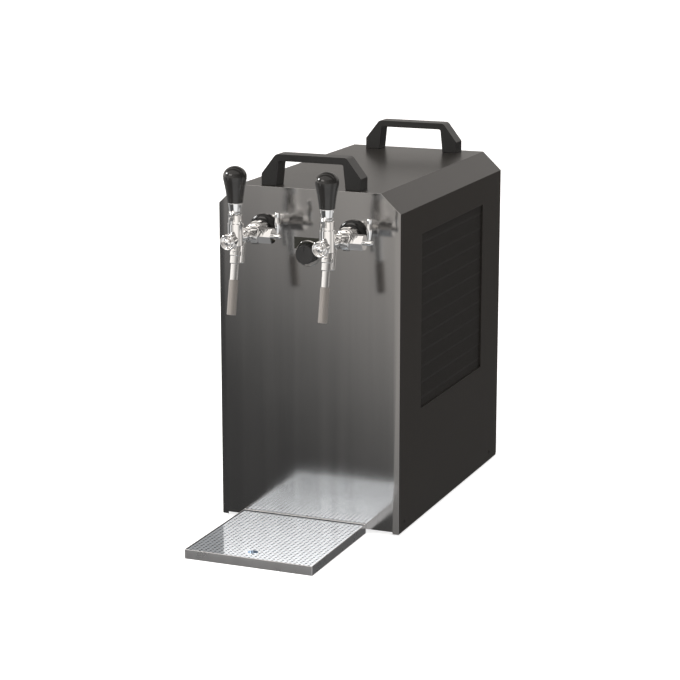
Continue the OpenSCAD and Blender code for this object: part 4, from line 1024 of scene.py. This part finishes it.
class DISPENSER_OT_spouts(Step):
    """Makes the spouts, their steel sleeves and the foam tubes"""
    bl_idname = "dispenser.spouts"
    bl_label = "Spouts"
    spout_end = 81

    def make(self, scene):
        plated = bpy.data.materials["tap_chrome"]
        steel = brushed("tip_steel", (0.28, 0.262, 0.247), 0.35, (1, 1, 0.1), 0.5)
        both_taps(self.spout, "spout", plated)
        both_taps(self.tip, "spout_tip", steel)
        both_taps(self.foam_tube, "creamer_tube", plated)

    def spout(self):
        """A tube under a ring nut and a sleeve, measured down from the barrel's axis."""
        nut, sleeve, bevel, nut_top, nut_foot, sleeve_foot = 8.5, 7.7, 0.8, 18, 25.1, 37
        return self.set_out([
            [BEER_WAY, nut_top], [sleeve, nut_top], [nut, nut_top + bevel], [nut, nut_foot - bevel],
            [sleeve, nut_foot], [sleeve, sleeve_foot - bevel], [SPOUT_TUBE, sleeve_foot],
            [SPOUT_TUBE, self.spout_end], [BEER_WAY, self.spout_end]], SPOUT_REACH)

    def tip(self):
        """The steel sleeve round the spout's end, narrower inside below it."""
        room, wall, bevel, inside, top, foot = SPOUT_TUBE + 0.1, 7, 0.8, 5.2, 61, 114
        step = self.spout_end + GAP
        return self.set_out([
            [room, top], [wall - bevel, top], [wall, top + bevel], [wall, foot - bevel], [wall - bevel, foot],
            [inside, foot], [inside, step], [room, step]], SPOUT_REACH)

    def foam_tube(self):
        """The narrow tube behind the spout."""
        wall, bevel, top, foot = 3.5, 0.8, 12, 41
        return self.set_out([[FOAM_WAY, top], [wall, top], [wall, foot - bevel], [wall - bevel, foot],
                             [FOAM_WAY, foot]], FOAM_REACH)

    def set_out(self, outline, root):
        return DISPENSER_OT_taps.along_spout(tube("tube", outline, 0.25), root)


class DISPENSER_OT_controls(Step):
    """Makes the dial's ring, and finishes the thermostat and the power switch"""
    bl_idname = "dispenser.controls"
    bl_label = "Controls"

    def make(self, scene):
        dress(plastic("dial_black", grey(0.021), 0.45), "thermostat_knob")
        metal = brushed("dial_metal", (0.46, 0.455, 0.44), 0.15)
        finish_piece(self.ring(), metal, "cabinet", "dial_ring")
        dress(plastic("plate_dark", (0.024, 0.024, 0.018), 0.12), "dial_plate")
        dress(plastic("thermostat_case", (0.6, 0.57, 0.5), 0.5), "thermostat")
        dress(plastic("switch_black", grey(0.012), 0.3), "switch_housing", "switch_rocker")

    def ring(self):
        """A bevelled ring on the panel, cut where the dial's plate passes under it."""
        inside, outside, crest, edge, top = 18.8, 20.8, 19.2, 0.3, 2
        centre = middle("dial_ring") / MM
        outline = [[inside, 0], [outside, 0], [outside, edge], [crest, top], [inside, top]]
        ring = tube("dial_ring_piece", outline, 0.1, SIDES_OF_FINE_ROUND)
        plate_room = block("plate_room", (-23.2, 5.9, -1), (23.2, 24.1, 0.9))
        united([ring, plate_room], "DIFFERENCE")
        return put(ring, (centre.x, PANEL_Y / MM, centre.z), FORWARDS)


class DISPENSER_OT_cooling(Step):
    """Finishes what is inside and behind the case"""
    bl_idname = "dispenser.cooling"
    bl_label = "Cooling unit"

    def make(self, scene):
        dress(paint("compressor_black", grey(0.014), 0.3), "compressor")
        dress(brushed("fin_aluminium", (0.7, 0.7, 0.71), 0.35), "condenser")
        dress(paint("shroud_grey", grey(0.1), 0.4), "fan_shroud")
        dress(plastic("fan_black", grey(0.02)), "fan_rotor")
        dress(plastic("block_jacket", grey(0.03), 0.7), "cold_block")
        dress(plastic("control_black", grey(0.03), 0.5), "control_box")
        dress(plastic("line_clear", (0.7, 0.74, 0.75), 0.2), "beer_line_left", "beer_line_right")
        dress(brushed("fitting_steel", grey(0.62), 0.25), "beer_inlet_left", "beer_inlet_right")
        dress(plastic("gland_black", grey(0.02)), "cable_gland")
        dress(brushed("copper", (0.75, 0.40, 0.24), 0.3), "refrigerant_lines")


class DISPENSER_PT_panel(bpy.types.Panel):
    """Lists the steps and the settings"""
    bl_idname = "DISPENSER_PT_panel"
    bl_label = "Beer dispenser"
    bl_space_type = "VIEW_3D"
    bl_region_type = "UI"
    bl_category = "Dispenser"

    def draw(self, context):
        for step in STEPS:
            self.layout.operator(step.bl_idname)
        for name, group in SETTINGS.items():
            box = self.layout.box()
            for field in group.__annotations__:
                box.prop(getattr(context.scene, name), field)


STEPS = (DISPENSER_OT_stage, DISPENSER_OT_case, DISPENSER_OT_handles, DISPENSER_OT_tray, DISPENSER_OT_taps,
         DISPENSER_OT_levers, DISPENSER_OT_spouts, DISPENSER_OT_controls, DISPENSER_OT_cooling)
CLASSES = (*SETTINGS.values(), *STEPS, DISPENSER_PT_panel)


def register():
    for item in CLASSES:
        bpy.utils.register_class(item)
    for name, group in SETTINGS.items():
        setattr(bpy.types.Scene, name, bpy.props.PointerProperty(type=group))


def unregister():
    for name in SETTINGS:
        delattr(bpy.types.Scene, name)
    for item in reversed(CLASSES):
        bpy.utils.unregister_class(item)


def main():
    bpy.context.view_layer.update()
    register()
    for step in STEPS:
        group, name = step.bl_idname.split(".")
        getattr(getattr(bpy.ops, group), name)()


if __name__ == "__main__":
    main()
